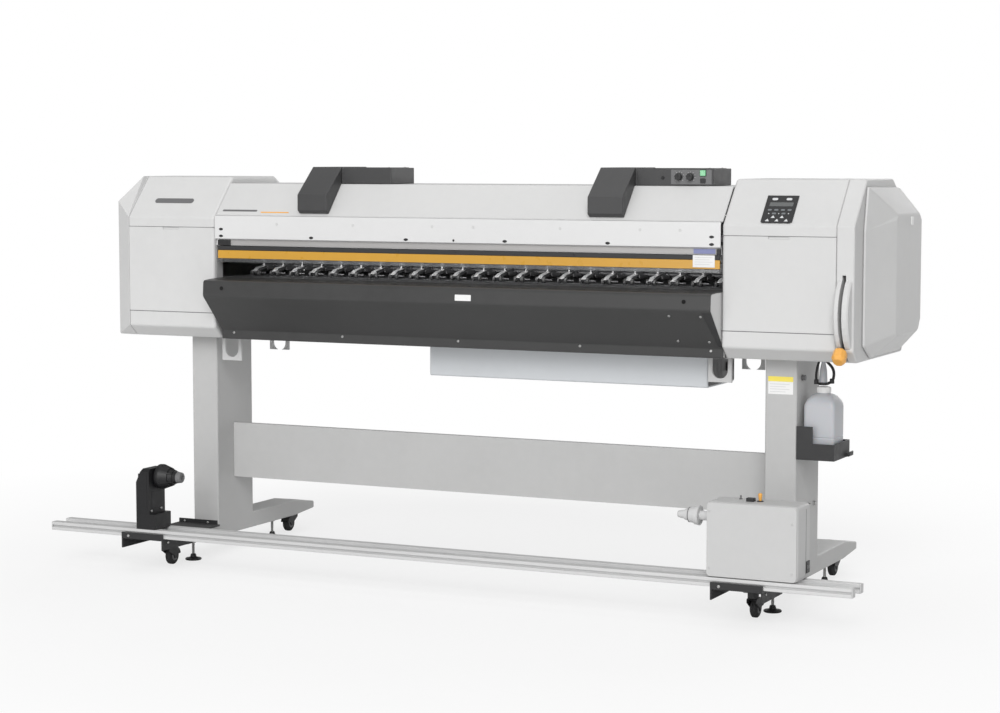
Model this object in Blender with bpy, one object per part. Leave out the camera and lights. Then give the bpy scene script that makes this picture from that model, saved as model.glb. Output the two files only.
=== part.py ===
"""Wide-format roll printer and cutter on a wheeled stand, with a take-up unit in front.

Metres, +Z up, +X along the machine's width, -Y towards the person using it.
All sizes are written in the machine's own frame: X = 0 in the middle of the media
opening, Y = 0 on the front of the end housings, Z = 0 on the floor. The root empty
moves that frame so that the world origin is under the middle of the whole machine.
"""
import math

import bmesh
import bpy
from mathutils import Vector

# ------------------------------------------------------------------ root frame
FRAME_X = -0.0120
FRAME_Y = -0.2260

# ------------------------------------------------------------------ body levels
BODY_BOTTOM = 0.735
BODY_TOP = 1.261
LOWER_SEAM = 0.818
UPPER_SEAM = 1.098
SLOPE_START = 1.129
GAP = 0.0004

# ------------------------------------------------------------------ body widths
OPENING_HALF = 0.875
LEFT_FRONT_END = -1.209
RIGHT_DOOR_END = 1.221
GUARD_END = 1.275
BODY_REAR = 0.545
CORNER_ROUND = 0.010

# ------------------------------------------------------------------ side profile (Y, Z)
HOUSING_PROFILE = [
    (0.0, 0.770), (0.0, SLOPE_START), (0.118, BODY_TOP), (0.385, BODY_TOP),
    (BODY_REAR, 1.165), (BODY_REAR, 0.790), (0.500, BODY_BOTTOM), (0.040, BODY_BOTTOM),
]
CAVITY_PROFILE = [
    (0.018, 0.812), (0.018, 1.120), (0.124, 1.247), (0.380, 1.247),
    (0.532, 1.156), (0.532, 0.812),
]
WALL_WINDOW = (0.050, 0.812, 0.510, 1.150)

# ------------------------------------------------------------------ hood
HOOD_HALF = 0.8735
HOOD_PATH = [(0.009, 1.1385), (0.099, 1.2395), (0.385, 1.2395), (0.5445, 1.146)]
HOOD_THICK = 0.006
PLATE_PATH = [(0.0090, 1.1360), (0.0020, 1.1360), (0.0020, 1.0620), (0.0120, 1.0585), (0.0120, 1.0400)]
PLATE_THICK = 0.0035

# ------------------------------------------------------------------ front cover
COVER_AXIS_Y = 0.006
COVER_AXIS_Z = 1.0385
COVER_HALF = 0.866
AMBER_TOP = 1.0242
AMBER_BOTTOM = 0.986

# ------------------------------------------------------------------ media path
PLATEN_TOP = 0.936
PLATEN_BASE = 0.9055
BED_HALF = 0.872
GRIT_Y = 0.160
GRIT_Z = 0.9235
GRIT_RADIUS = 0.0125
PINCH_RADIUS = 0.009
PINCH_Z = GRIT_Z + GRIT_RADIUS + 0.0006 + PINCH_RADIUS
ARM_PIVOT_Y = 0.262
ARM_PIVOT_Z = 0.966
ARM_COUNT = 23
ARM_PITCH = 0.074
ARM_WIDTH = 0.014

# ------------------------------------------------------------------ carriage and rail
RAIL_FRONT = 0.300
RAIL_REAR = 0.335
RAIL_BOTTOM = 0.965
RAIL_TOP = 1.090
RAIL_HALF = 1.150
PARK_X = 1.040
CARRIAGE_HALF = 0.085

# ------------------------------------------------------------------ loading lever
LEVER_AXIS_Y = 0.098
LEVER_AXIS_Z = 0.875
LEVER_REACH = 0.165
LEVER_REST = math.radians(46.0)
LEVER_X = 1.2455
GUARD_RADIUS = 0.140
SLOT_RADIUS = 0.150

# ------------------------------------------------------------------ ducts
DUCT_TOP = 1.294
DUCT_BASE = 1.2402
DUCT_NOSE = [
    (0.0000, 1.1560), (0.0000, 1.2060), (0.1000, DUCT_TOP), (0.2650, DUCT_TOP),
    (0.2650, DUCT_BASE), (0.0985, DUCT_BASE), (0.0140, 1.1452),
]

KEY_X = 0.776
KEY_Z = 1.2780
KEY_SIZE = 0.017

# ------------------------------------------------------------------ stand
LEG_HALF = 0.0485
LEFT_LEG_X = -0.9825
RIGHT_LEG_X = 1.0265
LEG_PROFILE = [
    (-0.166, 0.0935), (-0.080, 0.104), (0.100, 0.104), (0.100, 0.7346), (0.318, 0.7346),
    (0.318, 0.117), (0.610, 0.117), (0.728, 0.098), (0.728, 0.074), (0.600, 0.064),
    (-0.085, 0.064), (-0.100, 0.0830), (-0.166, 0.0830),
]
STAY_FRONT = 0.199
STAY_BOTTOM = 0.2535
STAY_TOP = 0.4365

# ------------------------------------------------------------------ wheels and feet
WHEEL_RADIUS = 0.0285
WHEEL_HALF = 0.009
CASTER_TRAIL = 0.022
FRONT_WHEEL_Y = -0.106
REAR_WHEEL_Y = 0.632
FRONT_PAD_Y = -0.008
REAR_PAD_Y = 0.490
PAD_SHIFT_X = 0.018
FRONT_CASTER_TOP = 0.0826
REAR_CASTER_TOP = 0.0636
PAD_RADIUS = 0.027

# ------------------------------------------------------------------ take-up unit
RAIL_LEFT = -1.340
RAIL_RIGHT = 1.364
TAKEUP_FRONT = -0.270
TAKEUP_RAIL = 0.027
TAKEUP_PITCH = 0.077
TAKEUP_RAIL_Z = 0.112
SPINDLE_Y = -0.210
SPINDLE_Z = 0.304


# ================================================================== helpers
def clear_scene():
    """Start from an empty scene."""
    for item in list(bpy.data.objects):
        bpy.data.objects.remove(item, do_unlink=True)


def material(name, colour, roughness, metallic=0.0):
    """A plain material with one colour."""
    result = bpy.data.materials.new(name)
    result.use_nodes = True
    shader = result.node_tree.nodes["Principled BSDF"]
    shader.inputs["Base Color"].default_value = (*colour, 1.0)
    shader.inputs["Roughness"].default_value = roughness
    shader.inputs["Metallic"].default_value = metallic
    result.diffuse_color = (*colour, 1.0)
    return result


def place(axis, along, a, b):
    """A point from a distance along an axis and two cross coordinates in X, Y, Z order."""
    if axis == "X":
        return Vector((along, a, b))
    if axis == "Y":
        return Vector((a, along, b))
    return Vector((a, b, along))


def prism(outline, axis, start, end):
    """Closed solid: a flat outline swept along one axis."""
    bm = bmesh.new()
    near = [bm.verts.new(place(axis, start, a, b)) for a, b in outline]
    far = [bm.verts.new(place(axis, end, a, b)) for a, b in outline]
    bm.faces.new(near)
    bm.faces.new(list(reversed(far)))
    count = len(outline)
    for i in range(count):
        j = (i + 1) % count
        bm.faces.new((near[i], far[i], far[j], near[j]))
    bmesh.ops.recalc_face_normals(bm, faces=bm.faces)
    return bm


def block(x0, x1, y0, y1, z0, z1):
    """Closed box between two corners."""
    return prism([(x0, y0), (x1, y0), (x1, y1), (x0, y1)], "Z", z0, z1)


def lathe(profile, axis, centre, steps):
    """Closed round solid: (distance, radius) pairs turned about an axis through a centre."""
    bm = bmesh.new()
    rings = []
    for along, radius in profile:
        ring = []
        for i in range(steps):
            angle = 2.0 * math.pi * (i + 0.5) / steps
            a = radius * math.cos(angle)
            b = radius * math.sin(angle)
            ring.append(bm.verts.new(place(axis, along, a, b) + Vector(centre)))
        rings.append(ring)
    bm.faces.new(rings[0])
    bm.faces.new(list(reversed(rings[-1])))
    for low, high in zip(rings, rings[1:]):
        for i in range(steps):
            j = (i + 1) % steps
            bm.faces.new((low[i], high[i], high[j], low[j]))
    bmesh.ops.recalc_face_normals(bm, faces=bm.faces)
    return bm


def loft(loops):
    """Closed solid: loops of equal length joined one after another."""
    bm = bmesh.new()
    rings = [[bm.verts.new(point) for point in loop] for loop in loops]
    bm.faces.new(rings[0])
    bm.faces.new(list(reversed(rings[-1])))
    for low, high in zip(rings, rings[1:]):
        count = len(low)
        for i in range(count):
            j = (i + 1) % count
            bm.faces.new((low[i], high[i], high[j], low[j]))
    bmesh.ops.recalc_face_normals(bm, faces=bm.faces)
    return bm


def sheet(path, thickness):
    """Outline of a bent sheet: a path and its copy moved to the path's right side."""
    offset = []
    for i, point in enumerate(path):
        here = Vector(point)
        before = Vector(path[i - 1]) if i > 0 else None
        after = Vector(path[i + 1]) if i < len(path) - 1 else None
        normals = []
        if before is not None:
            step = (here - before).normalized()
            normals.append(Vector((step.y, -step.x)))
        if after is not None:
            step = (after - here).normalized()
            normals.append(Vector((step.y, -step.x)))
        if len(normals) == 2:
            middle = (normals[0] + normals[1]).normalized()
            middle /= middle.dot(normals[0])
        else:
            middle = normals[0]
        moved = here + middle * thickness
        offset.append((moved.x, moved.y))
    return list(path) + list(reversed(offset))


def add_object(name, bm, finish, origin=(0.0, 0.0, 0.0)):
    """Turn a bmesh into a named object whose own origin sits at a point of the machine."""
    bmesh.ops.translate(bm, verts=bm.verts, vec=-Vector(origin))
    mesh = bpy.data.meshes.new(name)
    bm.to_mesh(mesh)
    bm.free()
    mesh.materials.append(finish)
    result = bpy.data.objects.new(name, mesh)
    bpy.context.scene.collection.objects.link(result)
    result.parent = ROOT
    result.location = origin
    return result


def bake(item):
    """Replace an object's mesh by the one its modifiers make."""
    bpy.context.view_layer.update()
    graph = bpy.context.evaluated_depsgraph_get()
    mesh = bpy.data.meshes.new_from_object(item.evaluated_get(graph))
    mesh.name = item.name
    item.modifiers.clear()
    item.data = mesh


def combine(item, bm, operation):
    """Join or cut an object with a solid given in the machine's frame."""
    tool = add_object("tool", bm, item.data.materials[0])
    modifier = item.modifiers.new("combine", "BOOLEAN")
    modifier.operation = operation
    modifier.solver = "EXACT"
    modifier.object = tool
    bake(item)
    bpy.data.objects.remove(tool, do_unlink=True)


def cut(item, bm):
    """Take a solid away from an object."""
    combine(item, bm, "DIFFERENCE")


def join(item, bm):
    """Add a solid to an object."""
    combine(item, bm, "UNION")


def soften(item, width, segments=1, angle=35.0):
    """Break the object's sharp edges."""
    modifier = item.modifiers.new("soften", "BEVEL")
    modifier.width = width
    modifier.segments = segments
    modifier.limit_method = "ANGLE"
    modifier.angle_limit = math.radians(angle)
    bake(item)


def smooth(item, angle=35.0):
    """Shade round faces smooth and keep sharp edges sharp."""
    item.data.shade_smooth()
    item.data.set_sharp_from_angle(angle=math.radians(angle))


# ================================================================== end housings
def round_end(bm, x):
    """Round the outline of a prism's end face that lies at one X."""
    edges = [edge for edge in bm.edges if all(abs(v.co.x - x) < 1e-5 for v in edge.verts)]
    bmesh.ops.bevel(bm, geom=edges, offset=CORNER_ROUND, segments=4, profile=0.5, affect="EDGES")


def end_housing(name, x_outer, x_inner):
    """Shell of one end of the body, open towards the door and the carriage."""
    low, high = min(x_outer, x_inner), max(x_outer, x_inner)
    side = 1.0 if x_inner > x_outer else -1.0
    body = prism(HOUSING_PROFILE, "X", low, high)
    round_end(body, x_inner)
    shell = add_object(name, body, SHELL_WHITE)
    soften(shell, 0.0045, 2)
    inner_face = x_inner - side * 0.009
    outer_face = x_outer + side * 0.012
    cavity_low, cavity_high = min(inner_face, outer_face), max(inner_face, outer_face)
    cut(shell, prism(CAVITY_PROFILE, "X", cavity_low, cavity_high))
    y0, z0, y1, z1 = WALL_WINDOW
    window_low, window_high = sorted((inner_face - side * 0.004, x_inner + side * 0.004))
    cut(shell, block(window_low, window_high, y0, y1, z0, z1))
    cut(shell, block(low - 0.01, high + 0.01, -0.02, 0.0128, LOWER_SEAM, UPPER_SEAM))
    cut(shell, block(cavity_low + 0.012, cavity_high - 0.012, 0.0, 0.03, 0.838, 1.080))
    smooth(shell)
    return shell


def end_door(name, x0, x1, x_inner):
    """Flat front door of an end housing, with a finger pull in its top edge."""
    origin = (0.5 * (x0 + x1), 0.0, LOWER_SEAM + GAP)
    panel = block(x0, x1, 0.0, 0.0124, LOWER_SEAM + GAP, UPPER_SEAM - GAP)
    edges = []
    for edge in panel.edges:
        if all(abs(v.co.x - x_inner) < 1e-5 and v.co.y < 1e-5 for v in edge.verts):
            edges.append(edge)
    bmesh.ops.bevel(panel, geom=edges, offset=CORNER_ROUND, segments=4, profile=0.5, affect="EDGES")
    door = add_object(name, panel, SHELL_WHITE, origin)
    soften(door, 0.0022, 2)
    middle = origin[0]
    top = UPPER_SEAM - GAP
    cut(door, block(middle - 0.032, middle + 0.032, -0.004, 0.0032, top - 0.009, top + 0.01))
    smooth(door)
    return door


def end_cover(name, side, x_inner):
    """Faceted cap that closes one end of the body."""
    outer = [
        (0.235, 0.812), (0.235, 1.143), (0.247, 1.156), (0.480, 1.156),
        (0.500, 1.138), (0.500, 0.838), (0.476, 0.806), (0.247, 0.800),
    ]
    shoulder = [
        (0.078, 0.780), (0.078, 1.112), (0.106, 1.240), (0.430, 1.235),
        (0.536, 1.150), (0.536, 0.800), (0.446, 0.743), (0.150, 0.741),
    ]
    if side > 0:
        root = [(y + 0.002, z) for y, z in shoulder]
        steps = [(0.0, root), (0.007, shoulder), (0.058, outer)]
    else:
        chamfered = [
            (0.045, 0.739), (0.045, 1.1795), (0.195, BODY_TOP), (0.385, BODY_TOP),
            (BODY_REAR, 1.165), (BODY_REAR, 0.790), (0.500, BODY_BOTTOM), (0.050, BODY_BOTTOM),
        ]
        shoulder[2] = (0.176, 1.236)
        steps = [(0.0, HOUSING_PROFILE), (0.071, chamfered), (0.0735, shoulder), (0.126, outer)]
    loops = [[(x_inner + side * x, y, z) for y, z in loop] for x, loop in steps]
    cap = add_object(name, loft(loops), SHELL_WHITE)
    soften(cap, 0.004, 1, 14.0)
    smooth(cap, 24.0)
    return cap


def lever_guard():
    """Slice of the body beside the right door, with the slotted bulge the lever runs in."""
    guard = add_object("lever_guard", prism(HOUSING_PROFILE, "X", RIGHT_DOOR_END + GAP, GUARD_END), SHELL_WHITE)
    soften(guard, 0.003, 1)
    centre = (0.0, LEVER_AXIS_Y, LEVER_AXIS_Z)
    bulge = lathe([(RIGHT_DOOR_END + 0.004, GUARD_RADIUS - 0.004), (RIGHT_DOOR_END + 0.008, GUARD_RADIUS),
                   (GUARD_END - 0.010, GUARD_RADIUS), (GUARD_END - 0.006, GUARD_RADIUS - 0.004)],
                  "X", centre, 40)
    join(guard, bulge)
    cut(guard, lathe([(LEVER_X - 0.0055, SLOT_RADIUS), (LEVER_X + 0.0055, SLOT_RADIUS)], "X", centre, 40))
    smooth(guard, 30.0)
    return guard


def loading_lever():
    """Thin arm in the guard's slot and the faceted knob at its end."""
    pivot = (LEVER_X, LEVER_AXIS_Y, LEVER_AXIS_Z)
    direction = Vector((0.0, -math.cos(LEVER_REST), -math.sin(LEVER_REST)))
    across = Vector((0.0, direction.z, -direction.y))
    outline = []
    for along, half in ((-0.016, 0.010), (0.0, 0.017), (0.030, 0.012), (0.1435, 0.008)):
        outline.append((along, half))
    points = [(a, h) for a, h in outline] + [(a, -h) for a, h in reversed(outline)]
    flat = []
    for along, half in points:
        spot = Vector((0.0, LEVER_AXIS_Y, LEVER_AXIS_Z)) + direction * along + across * half
        flat.append((spot.y, spot.z))
    arm = add_object("loading_lever", prism(flat, "X", LEVER_X - 0.003, LEVER_X + 0.003), CHARCOAL, pivot)
    soften(arm, 0.0008, 1)
    smooth(arm)
    centre_x = LEVER_X - 0.006
    loops = []
    for along, width, height in ((0.1440, 0.012, 0.016), (0.1500, 0.0190, 0.0215),
                                 (0.1760, 0.0200, 0.0215), (0.1860, 0.0130, 0.0150)):
        loop = []
        for u, v in ((1.0, 0.45), (0.5, 1.0), (-0.5, 1.0), (-1.0, 0.45),
                     (-1.0, -0.45), (-0.5, -1.0), (0.5, -1.0), (1.0, -0.45)):
            spot = Vector(pivot) + direction * along + across * (v * height)
            loop.append((centre_x + u * width, spot.y, spot.z))
        loops.append(loop)
    knob = add_object("lever_knob", loft(loops), ORANGE, pivot)
    soften(knob, 0.0016, 1, 20.0)
    smooth(knob, 30.0)


def make_housings():
    """Both ends of the body with their doors, caps, guard, keypad and lever."""
    end_housing("left_housing", LEFT_FRONT_END, -OPENING_HALF)
    end_housing("right_housing", RIGHT_DOOR_END, OPENING_HALF)
    left_inner = -OPENING_HALF - GAP
    right_inner = OPENING_HALF + GAP
    end_door("left_door", LEFT_FRONT_END + GAP, left_inner, left_inner)
    end_door("right_door", right_inner, RIGHT_DOOR_END - GAP, right_inner)
    end_cover("left_end_cover", -1.0, LEFT_FRONT_END - GAP)
    end_cover("right_end_cover", 1.0, GUARD_END + GAP)
    lever_guard()
    loading_lever()
    slope = Vector((0.118, BODY_TOP - SLOPE_START)).normalized()
    normal = Vector((-slope.y, slope.x))
    start = Vector((0.0, SLOPE_START))
    low = start + slope * 0.010
    high = start + slope * 0.112
    corners = [low + normal * 0.0003, high + normal * 0.0003, high + normal * 0.0033, low + normal * 0.0033]
    keypad = add_object("control_panel", prism([(c.x, c.y) for c in corners], "X", 0.990, 1.086), DARK_PLASTIC)
    soften(keypad, 0.0012, 1)
    smooth(keypad)


# ================================================================== hood and front cover
def make_hood():
    """Hood, front plate and the rear wall with its media slot."""
    hood = add_object("hood_cover", prism(sheet(HOOD_PATH, HOOD_THICK), "X", -HOOD_HALF, HOOD_HALF), SHELL_WHITE)
    soften(hood, 0.0015, 1, 25.0)
    smooth(hood)
    outline = sheet(list(reversed(PLATE_PATH)), PLATE_THICK)
    plate = add_object("hood_plate", prism(outline, "X", -HOOD_HALF, HOOD_HALF - 0.004), PLATE_WHITE)
    smooth(plate)
    wall = add_object("rear_cover", block(-HOOD_HALF, HOOD_HALF, 0.522, 0.544, 0.7600, 1.1400), SHELL_WHITE)
    soften(wall, 0.002, 1)
    cut(wall, block(-0.860, 0.860, 0.50, 0.56, 0.932, 0.990))
    smooth(wall)


def make_front_cover():
    """Hinged splash cover: a dark carrier strip and the amber window under it."""
    pivot = (0.0, COVER_AXIS_Y, COVER_AXIS_Z)
    strip = block(-COVER_HALF, COVER_HALF, COVER_AXIS_Y, COVER_AXIS_Y + 0.006, AMBER_TOP + GAP, COVER_AXIS_Z)
    frame = add_object("cover_frame", strip, CHARCOAL, pivot)
    soften(frame, 0.0012, 1)
    smooth(frame)
    pane = block(-COVER_HALF, COVER_HALF, COVER_AXIS_Y + 0.001, COVER_AXIS_Y + 0.005, AMBER_BOTTOM, AMBER_TOP)
    window = add_object("amber_window", pane, AMBER, pivot)
    soften(window, 0.0010, 1)
    smooth(window)


# ================================================================== media path
def make_bed():
    """Main beam, platen with its roller slot, and the front media guide."""
    beam = [
        (-1.150, 0.8124), (-BED_HALF, 0.8124), (-BED_HALF, 0.740), (BED_HALF, 0.740),
        (BED_HALF, 0.8124), (1.150, 0.8124), (1.150, 0.905), (-1.150, 0.905),
    ]
    frame = add_object("main_frame", prism(beam, "Y", 0.060, 0.500), STEEL_GREY)
    soften(frame, 0.002, 1)
    smooth(frame)
    platen = add_object("platen", block(-BED_HALF, BED_HALF, 0.046, 0.500, PLATEN_BASE, PLATEN_TOP), PLATEN_GREY)
    soften(platen, 0.0015, 1)
    cut(platen, block(-0.866, 0.866, GRIT_Y - 0.0165, GRIT_Y + 0.0165, PLATEN_BASE - 0.01, PLATEN_TOP + 0.01))
    smooth(platen)
    path = [
        (0.026, 0.733), (0.024, 0.763), (-0.088, 0.880), (-0.084, 0.919),
        (-0.076, 0.927), (-0.040, 0.933), (0.044, 0.935),
    ]
    guide = add_object("front_guide", prism(sheet(path, 0.0055), "X", -0.864, 0.8735), CHARCOAL)
    soften(guide, 0.0010, 1, 50.0)
    smooth(guide, 30.0)


def arm_bank():
    """One bar with a row of pressing arms, lifted by the loading lever."""
    half_row = 0.5 * (ARM_COUNT - 1) * ARM_PITCH
    edges = [-half_row - 0.030]
    for i in range(ARM_COUNT):
        middle = -half_row + i * ARM_PITCH
        edges += [middle - 0.5 * ARM_WIDTH, middle + 0.5 * ARM_WIDTH]
    edges.append(half_row + 0.030)
    bar_low = (ARM_PIVOT_Y - 0.009, ARM_PIVOT_Z - 0.010)
    bar_high = (ARM_PIVOT_Y - 0.009, ARM_PIVOT_Z + 0.006)
    back_low = (ARM_PIVOT_Y + 0.009, ARM_PIVOT_Z - 0.010)
    back_high = (ARM_PIVOT_Y + 0.009, ARM_PIVOT_Z + 0.006)
    tip_low = (GRIT_Y - 0.010, PINCH_Z + 0.0096)
    tip_high = (GRIT_Y - 0.010, PINCH_Z + 0.0176)
    bm = bmesh.new()

    def column(x):
        return [bm.verts.new((x, y, z)) for y, z in (bar_low, bar_high, back_high, back_low)]

    columns = [column(x) for x in edges]
    bm.faces.new(columns[0])
    bm.faces.new(list(reversed(columns[-1])))
    for i, (one, two) in enumerate(zip(columns, columns[1:])):
        for j in (1, 2, 3):
            k = (j + 1) % 4
            bm.faces.new((one[j], two[j], two[k], one[k]))
        if i % 2 == 0:
            bm.faces.new((one[0], two[0], two[1], one[1]))
            continue
        ends = []
        for column_edge, x in ((one, edges[i]), (two, edges[i + 1])):
            ends.append([bm.verts.new((x, *tip_low)), bm.verts.new((x, *tip_high))])
            low, high = ends[-1]
            bm.faces.new((column_edge[0], column_edge[1], high, low))
        bm.faces.new((ends[0][0], ends[0][1], ends[1][1], ends[1][0]))
        bm.faces.new((one[0], two[0], ends[1][0], ends[0][0]))
        bm.faces.new((one[1], two[1], ends[1][1], ends[0][1]))
    bmesh.ops.recalc_face_normals(bm, faces=bm.faces)
    return bm


def make_rollers():
    """Driven roller under the media and the spring-loaded row above it."""
    ends = [(-0.8655, 0.005), (-0.8640, 0.006), (-0.8600, 0.006), (-0.8598, GRIT_RADIUS),
            (0.8598, GRIT_RADIUS), (0.8600, 0.006), (0.8640, 0.006), (0.8655, 0.005)]
    roller = add_object("grit_roller", lathe(ends, "X", (0.0, GRIT_Y, GRIT_Z), 20), STEEL, (0.0, GRIT_Y, GRIT_Z))
    smooth(roller)
    pivot = (0.0, ARM_PIVOT_Y, ARM_PIVOT_Z)
    arms = add_object("pinch_arms", arm_bank(), STEEL, pivot)
    smooth(arms)
    half_row = 0.5 * (ARM_COUNT - 1) * ARM_PITCH
    profile = [(-half_row - 0.020, 0.0030)]
    for i in range(ARM_COUNT):
        middle = -half_row + i * ARM_PITCH
        profile += [(middle - 0.0110, 0.0030), (middle - 0.0108, PINCH_RADIUS),
                    (middle + 0.0108, PINCH_RADIUS), (middle + 0.0110, 0.0030)]
    profile.append((half_row + 0.020, 0.0030))
    centre = (0.0, GRIT_Y - 0.004, PINCH_Z)
    wheels = add_object("pinch_wheels", lathe(profile, "X", centre, 8), RUBBER, centre)
    smooth(wheels, 50.0)


def make_carriage():
    """Rail, print carriage parked at the right, its cutting head and the capping station."""
    portal = [
        (-RAIL_HALF, PLATEN_BASE), (-RAIL_HALF + 0.050, PLATEN_BASE), (-RAIL_HALF + 0.050, RAIL_BOTTOM),
        (RAIL_HALF - 0.050, RAIL_BOTTOM), (RAIL_HALF - 0.050, PLATEN_BASE), (RAIL_HALF, PLATEN_BASE),
        (RAIL_HALF, RAIL_TOP), (-RAIL_HALF, RAIL_TOP),
    ]
    rail = add_object("carriage_rail", prism(portal, "Y", RAIL_FRONT, RAIL_REAR), STEEL)
    soften(rail, 0.002, 1)
    join(rail, block(-0.860, 0.860, 0.276, RAIL_FRONT + 0.010, 0.9700, 1.0040))
    smooth(rail)
    body = [
        (0.056, 0.9430), (0.056, 1.092), (0.084, 1.118), (0.2955, 1.118),
        (0.2955, 1.022), (0.143, 1.022), (0.143, 0.9430),
    ]
    origin = (PARK_X, 0.10, 0.9430)
    outline = prism(body, "X", PARK_X - CARRIAGE_HALF, PARK_X + CARRIAGE_HALF)
    carriage = add_object("carriage", outline, CHARCOAL, origin)
    soften(carriage, 0.003, 1)
    smooth(carriage)
    head_x = PARK_X - CARRIAGE_HALF - 0.0135
    head = lathe([(0.9465, 0.0030), (0.9520, 0.0075), (0.9700, 0.0080), (0.9705, 0.0130),
                  (1.0600, 0.0130), (1.0620, 0.0110)], "Z", (head_x, 0.100, 0.0), 16)
    cutter = add_object("cutter_head", head, STEEL, (head_x, 0.100, 0.9465))
    smooth(cutter)
    cap = add_object("cap_station", block(0.965, 1.115, 0.070, 0.150, 0.9054, 0.9385), DARK_PLASTIC)
    soften(cap, 0.003, 1)
    cut(cap, block(0.985, 1.095, 0.085, 0.135, 0.9300, 0.95))
    smooth(cap)


# ================================================================== boxes under and over the body
def make_power_box():
    """Electronics box hanging under the main beam."""
    box = add_object("power_box", block(-0.149, 0.790, 0.120, 0.350, 0.635, 0.7396), PALE_METAL)
    soften(box, 0.003, 1)
    smooth(box)


def lift_bracket(name, x_middle):
    """Channel with two holed plates, where transport bars go in."""
    outline = [
        (0.092, 0.657), (0.100, 0.657), (0.100, 0.7280), (0.392, 0.7280), (0.392, 0.670),
        (0.400, 0.670), (0.400, 0.7340), (0.092, 0.7340),
    ]
    bracket = add_object(name, prism(outline, "X", x_middle - 0.037, x_middle + 0.037), PALE_METAL)
    slot = []
    for i in range(11):
        angle = math.pi + math.pi * i / 10.0
        slot.append((x_middle + 0.025 * math.cos(angle), 0.6930 + 0.025 * math.sin(angle)))
    slot += [(x_middle + 0.025, 0.7280), (x_middle - 0.025, 0.7280)]
    cut(bracket, prism(slot, "Y", 0.08, 0.41))
    smooth(bracket)


def duct(name, x_left, x_nose, x_right):
    """Dark housing hooked over the hood's front edge with a box running to its right."""
    nose = add_object(name, prism(DUCT_NOSE, "X", x_left, x_nose), DUCT_GREY)
    join(nose, block(x_nose - 0.020, x_right, 0.1035, 0.2610, DUCT_BASE, DUCT_TOP - 0.0030))
    soften(nose, 0.002, 2, 30.0)
    if x_nose < KEY_X < x_right:
        size = 0.5 * KEY_SIZE + 0.0007
        cut(nose, block(KEY_X - size, KEY_X + size, 0.090, 0.1090, KEY_Z - size, KEY_Z + size))
    smooth(nose)


def make_ducts():
    """The two units on the hood, with the knobs and key of the right one."""
    duct("left_duct", -0.561, -0.454, -0.277)
    duct("right_duct", 0.446, 0.560, 0.808)
    for name, x in (("duct_dial_left", 0.700), ("duct_dial_right", 0.7365)):
        centre = (x, 0.0, 1.2670)
        dial = lathe([(0.1031, 0.0100), (0.0975, 0.0115), (0.0900, 0.0105), (0.0885, 0.0090)], "Y", centre, 16)
        item = add_object(name, dial, BLACK_PLASTIC, (x, 0.1031, 1.2670))
        pointer = block(x - 0.0012, x + 0.0012, 0.0870, 0.0940, 1.2680, 1.2765)
        join(item, pointer)
        smooth(item)
    size = 0.5 * KEY_SIZE
    body = block(KEY_X - size, KEY_X + size, 0.0980, 0.1055, KEY_Z - size, KEY_Z + size)
    key = add_object("duct_power_key", body, GREEN, (KEY_X, 0.1055, KEY_Z))
    soften(key, 0.0012, 1)
    smooth(key)


# ================================================================== stand
def make_stand():
    """Two legs with their feet, and the stay between them."""
    for name, x in (("left_stand_leg", LEFT_LEG_X), ("right_stand_leg", RIGHT_LEG_X)):
        leg = add_object(name, prism(LEG_PROFILE, "X", x - LEG_HALF, x + LEG_HALF), LEG_GREY)
        soften(leg, 0.003, 1, 20.0)
        smooth(leg)
    left = LEFT_LEG_X + LEG_HALF + GAP
    right = RIGHT_LEG_X - LEG_HALF - GAP
    path = [
        (STAY_FRONT + 0.020, STAY_BOTTOM), (STAY_FRONT, STAY_BOTTOM),
        (STAY_FRONT, STAY_TOP), (STAY_FRONT + 0.020, STAY_TOP),
    ]
    stay = add_object("stay_panel", prism(sheet(path, 0.003), "X", left, right), LEG_GREY)
    smooth(stay)


def caster(prefix, x, wheel_y, swivel_y, top):
    """Swivel fork and its wheel."""
    reach = 1.0 if wheel_y > swivel_y else -1.0
    pivot = (x, swivel_y, top)
    outline = [
        (swivel_y - reach * 0.016, top), (swivel_y + reach * 0.016, top), (swivel_y + reach * 0.020, 0.0620),
        (wheel_y + reach * 0.011, 0.034), (wheel_y + reach * 0.008, 0.0205),
        (wheel_y - reach * 0.008, 0.0205), (swivel_y - reach * 0.014, 0.052),
    ]
    fork = add_object(prefix + "_fork", prism(outline, "X", x - 0.0155, x + 0.0155), BLACK_PLASTIC, pivot)
    soften(fork, 0.0012, 1)
    axle = (0.0, wheel_y, WHEEL_RADIUS)
    cut(fork, lathe([(x - 0.0105, WHEEL_RADIUS + 0.0022), (x + 0.0105, WHEEL_RADIUS + 0.0022)], "X", axle, 24))
    smooth(fork)
    profile = [
        (x - WHEEL_HALF, 0.0110), (x - WHEEL_HALF, 0.0240), (x - WHEEL_HALF + 0.002, WHEEL_RADIUS),
        (x + WHEEL_HALF - 0.002, WHEEL_RADIUS), (x + WHEEL_HALF, 0.0240), (x + WHEEL_HALF, 0.0110),
    ]
    wheel = add_object(prefix + "_wheel", lathe(profile, "X", axle, 22), RUBBER, (x, wheel_y, WHEEL_RADIUS))
    smooth(wheel)


def leveling_foot(name, x, y):
    """Screw foot that takes the load off the casters."""
    profile = [(0.0, PAD_RADIUS - 0.002), (0.0025, PAD_RADIUS), (0.006, PAD_RADIUS - 0.002),
               (0.011, 0.010), (0.020, 0.0085), (0.0202, 0.005), (0.0636, 0.005)]
    foot = add_object(name, lathe(profile, "Z", (x, y, 0.0), 16), BLACK_PLASTIC, (x, y, 0.0))
    smooth(foot)


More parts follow.
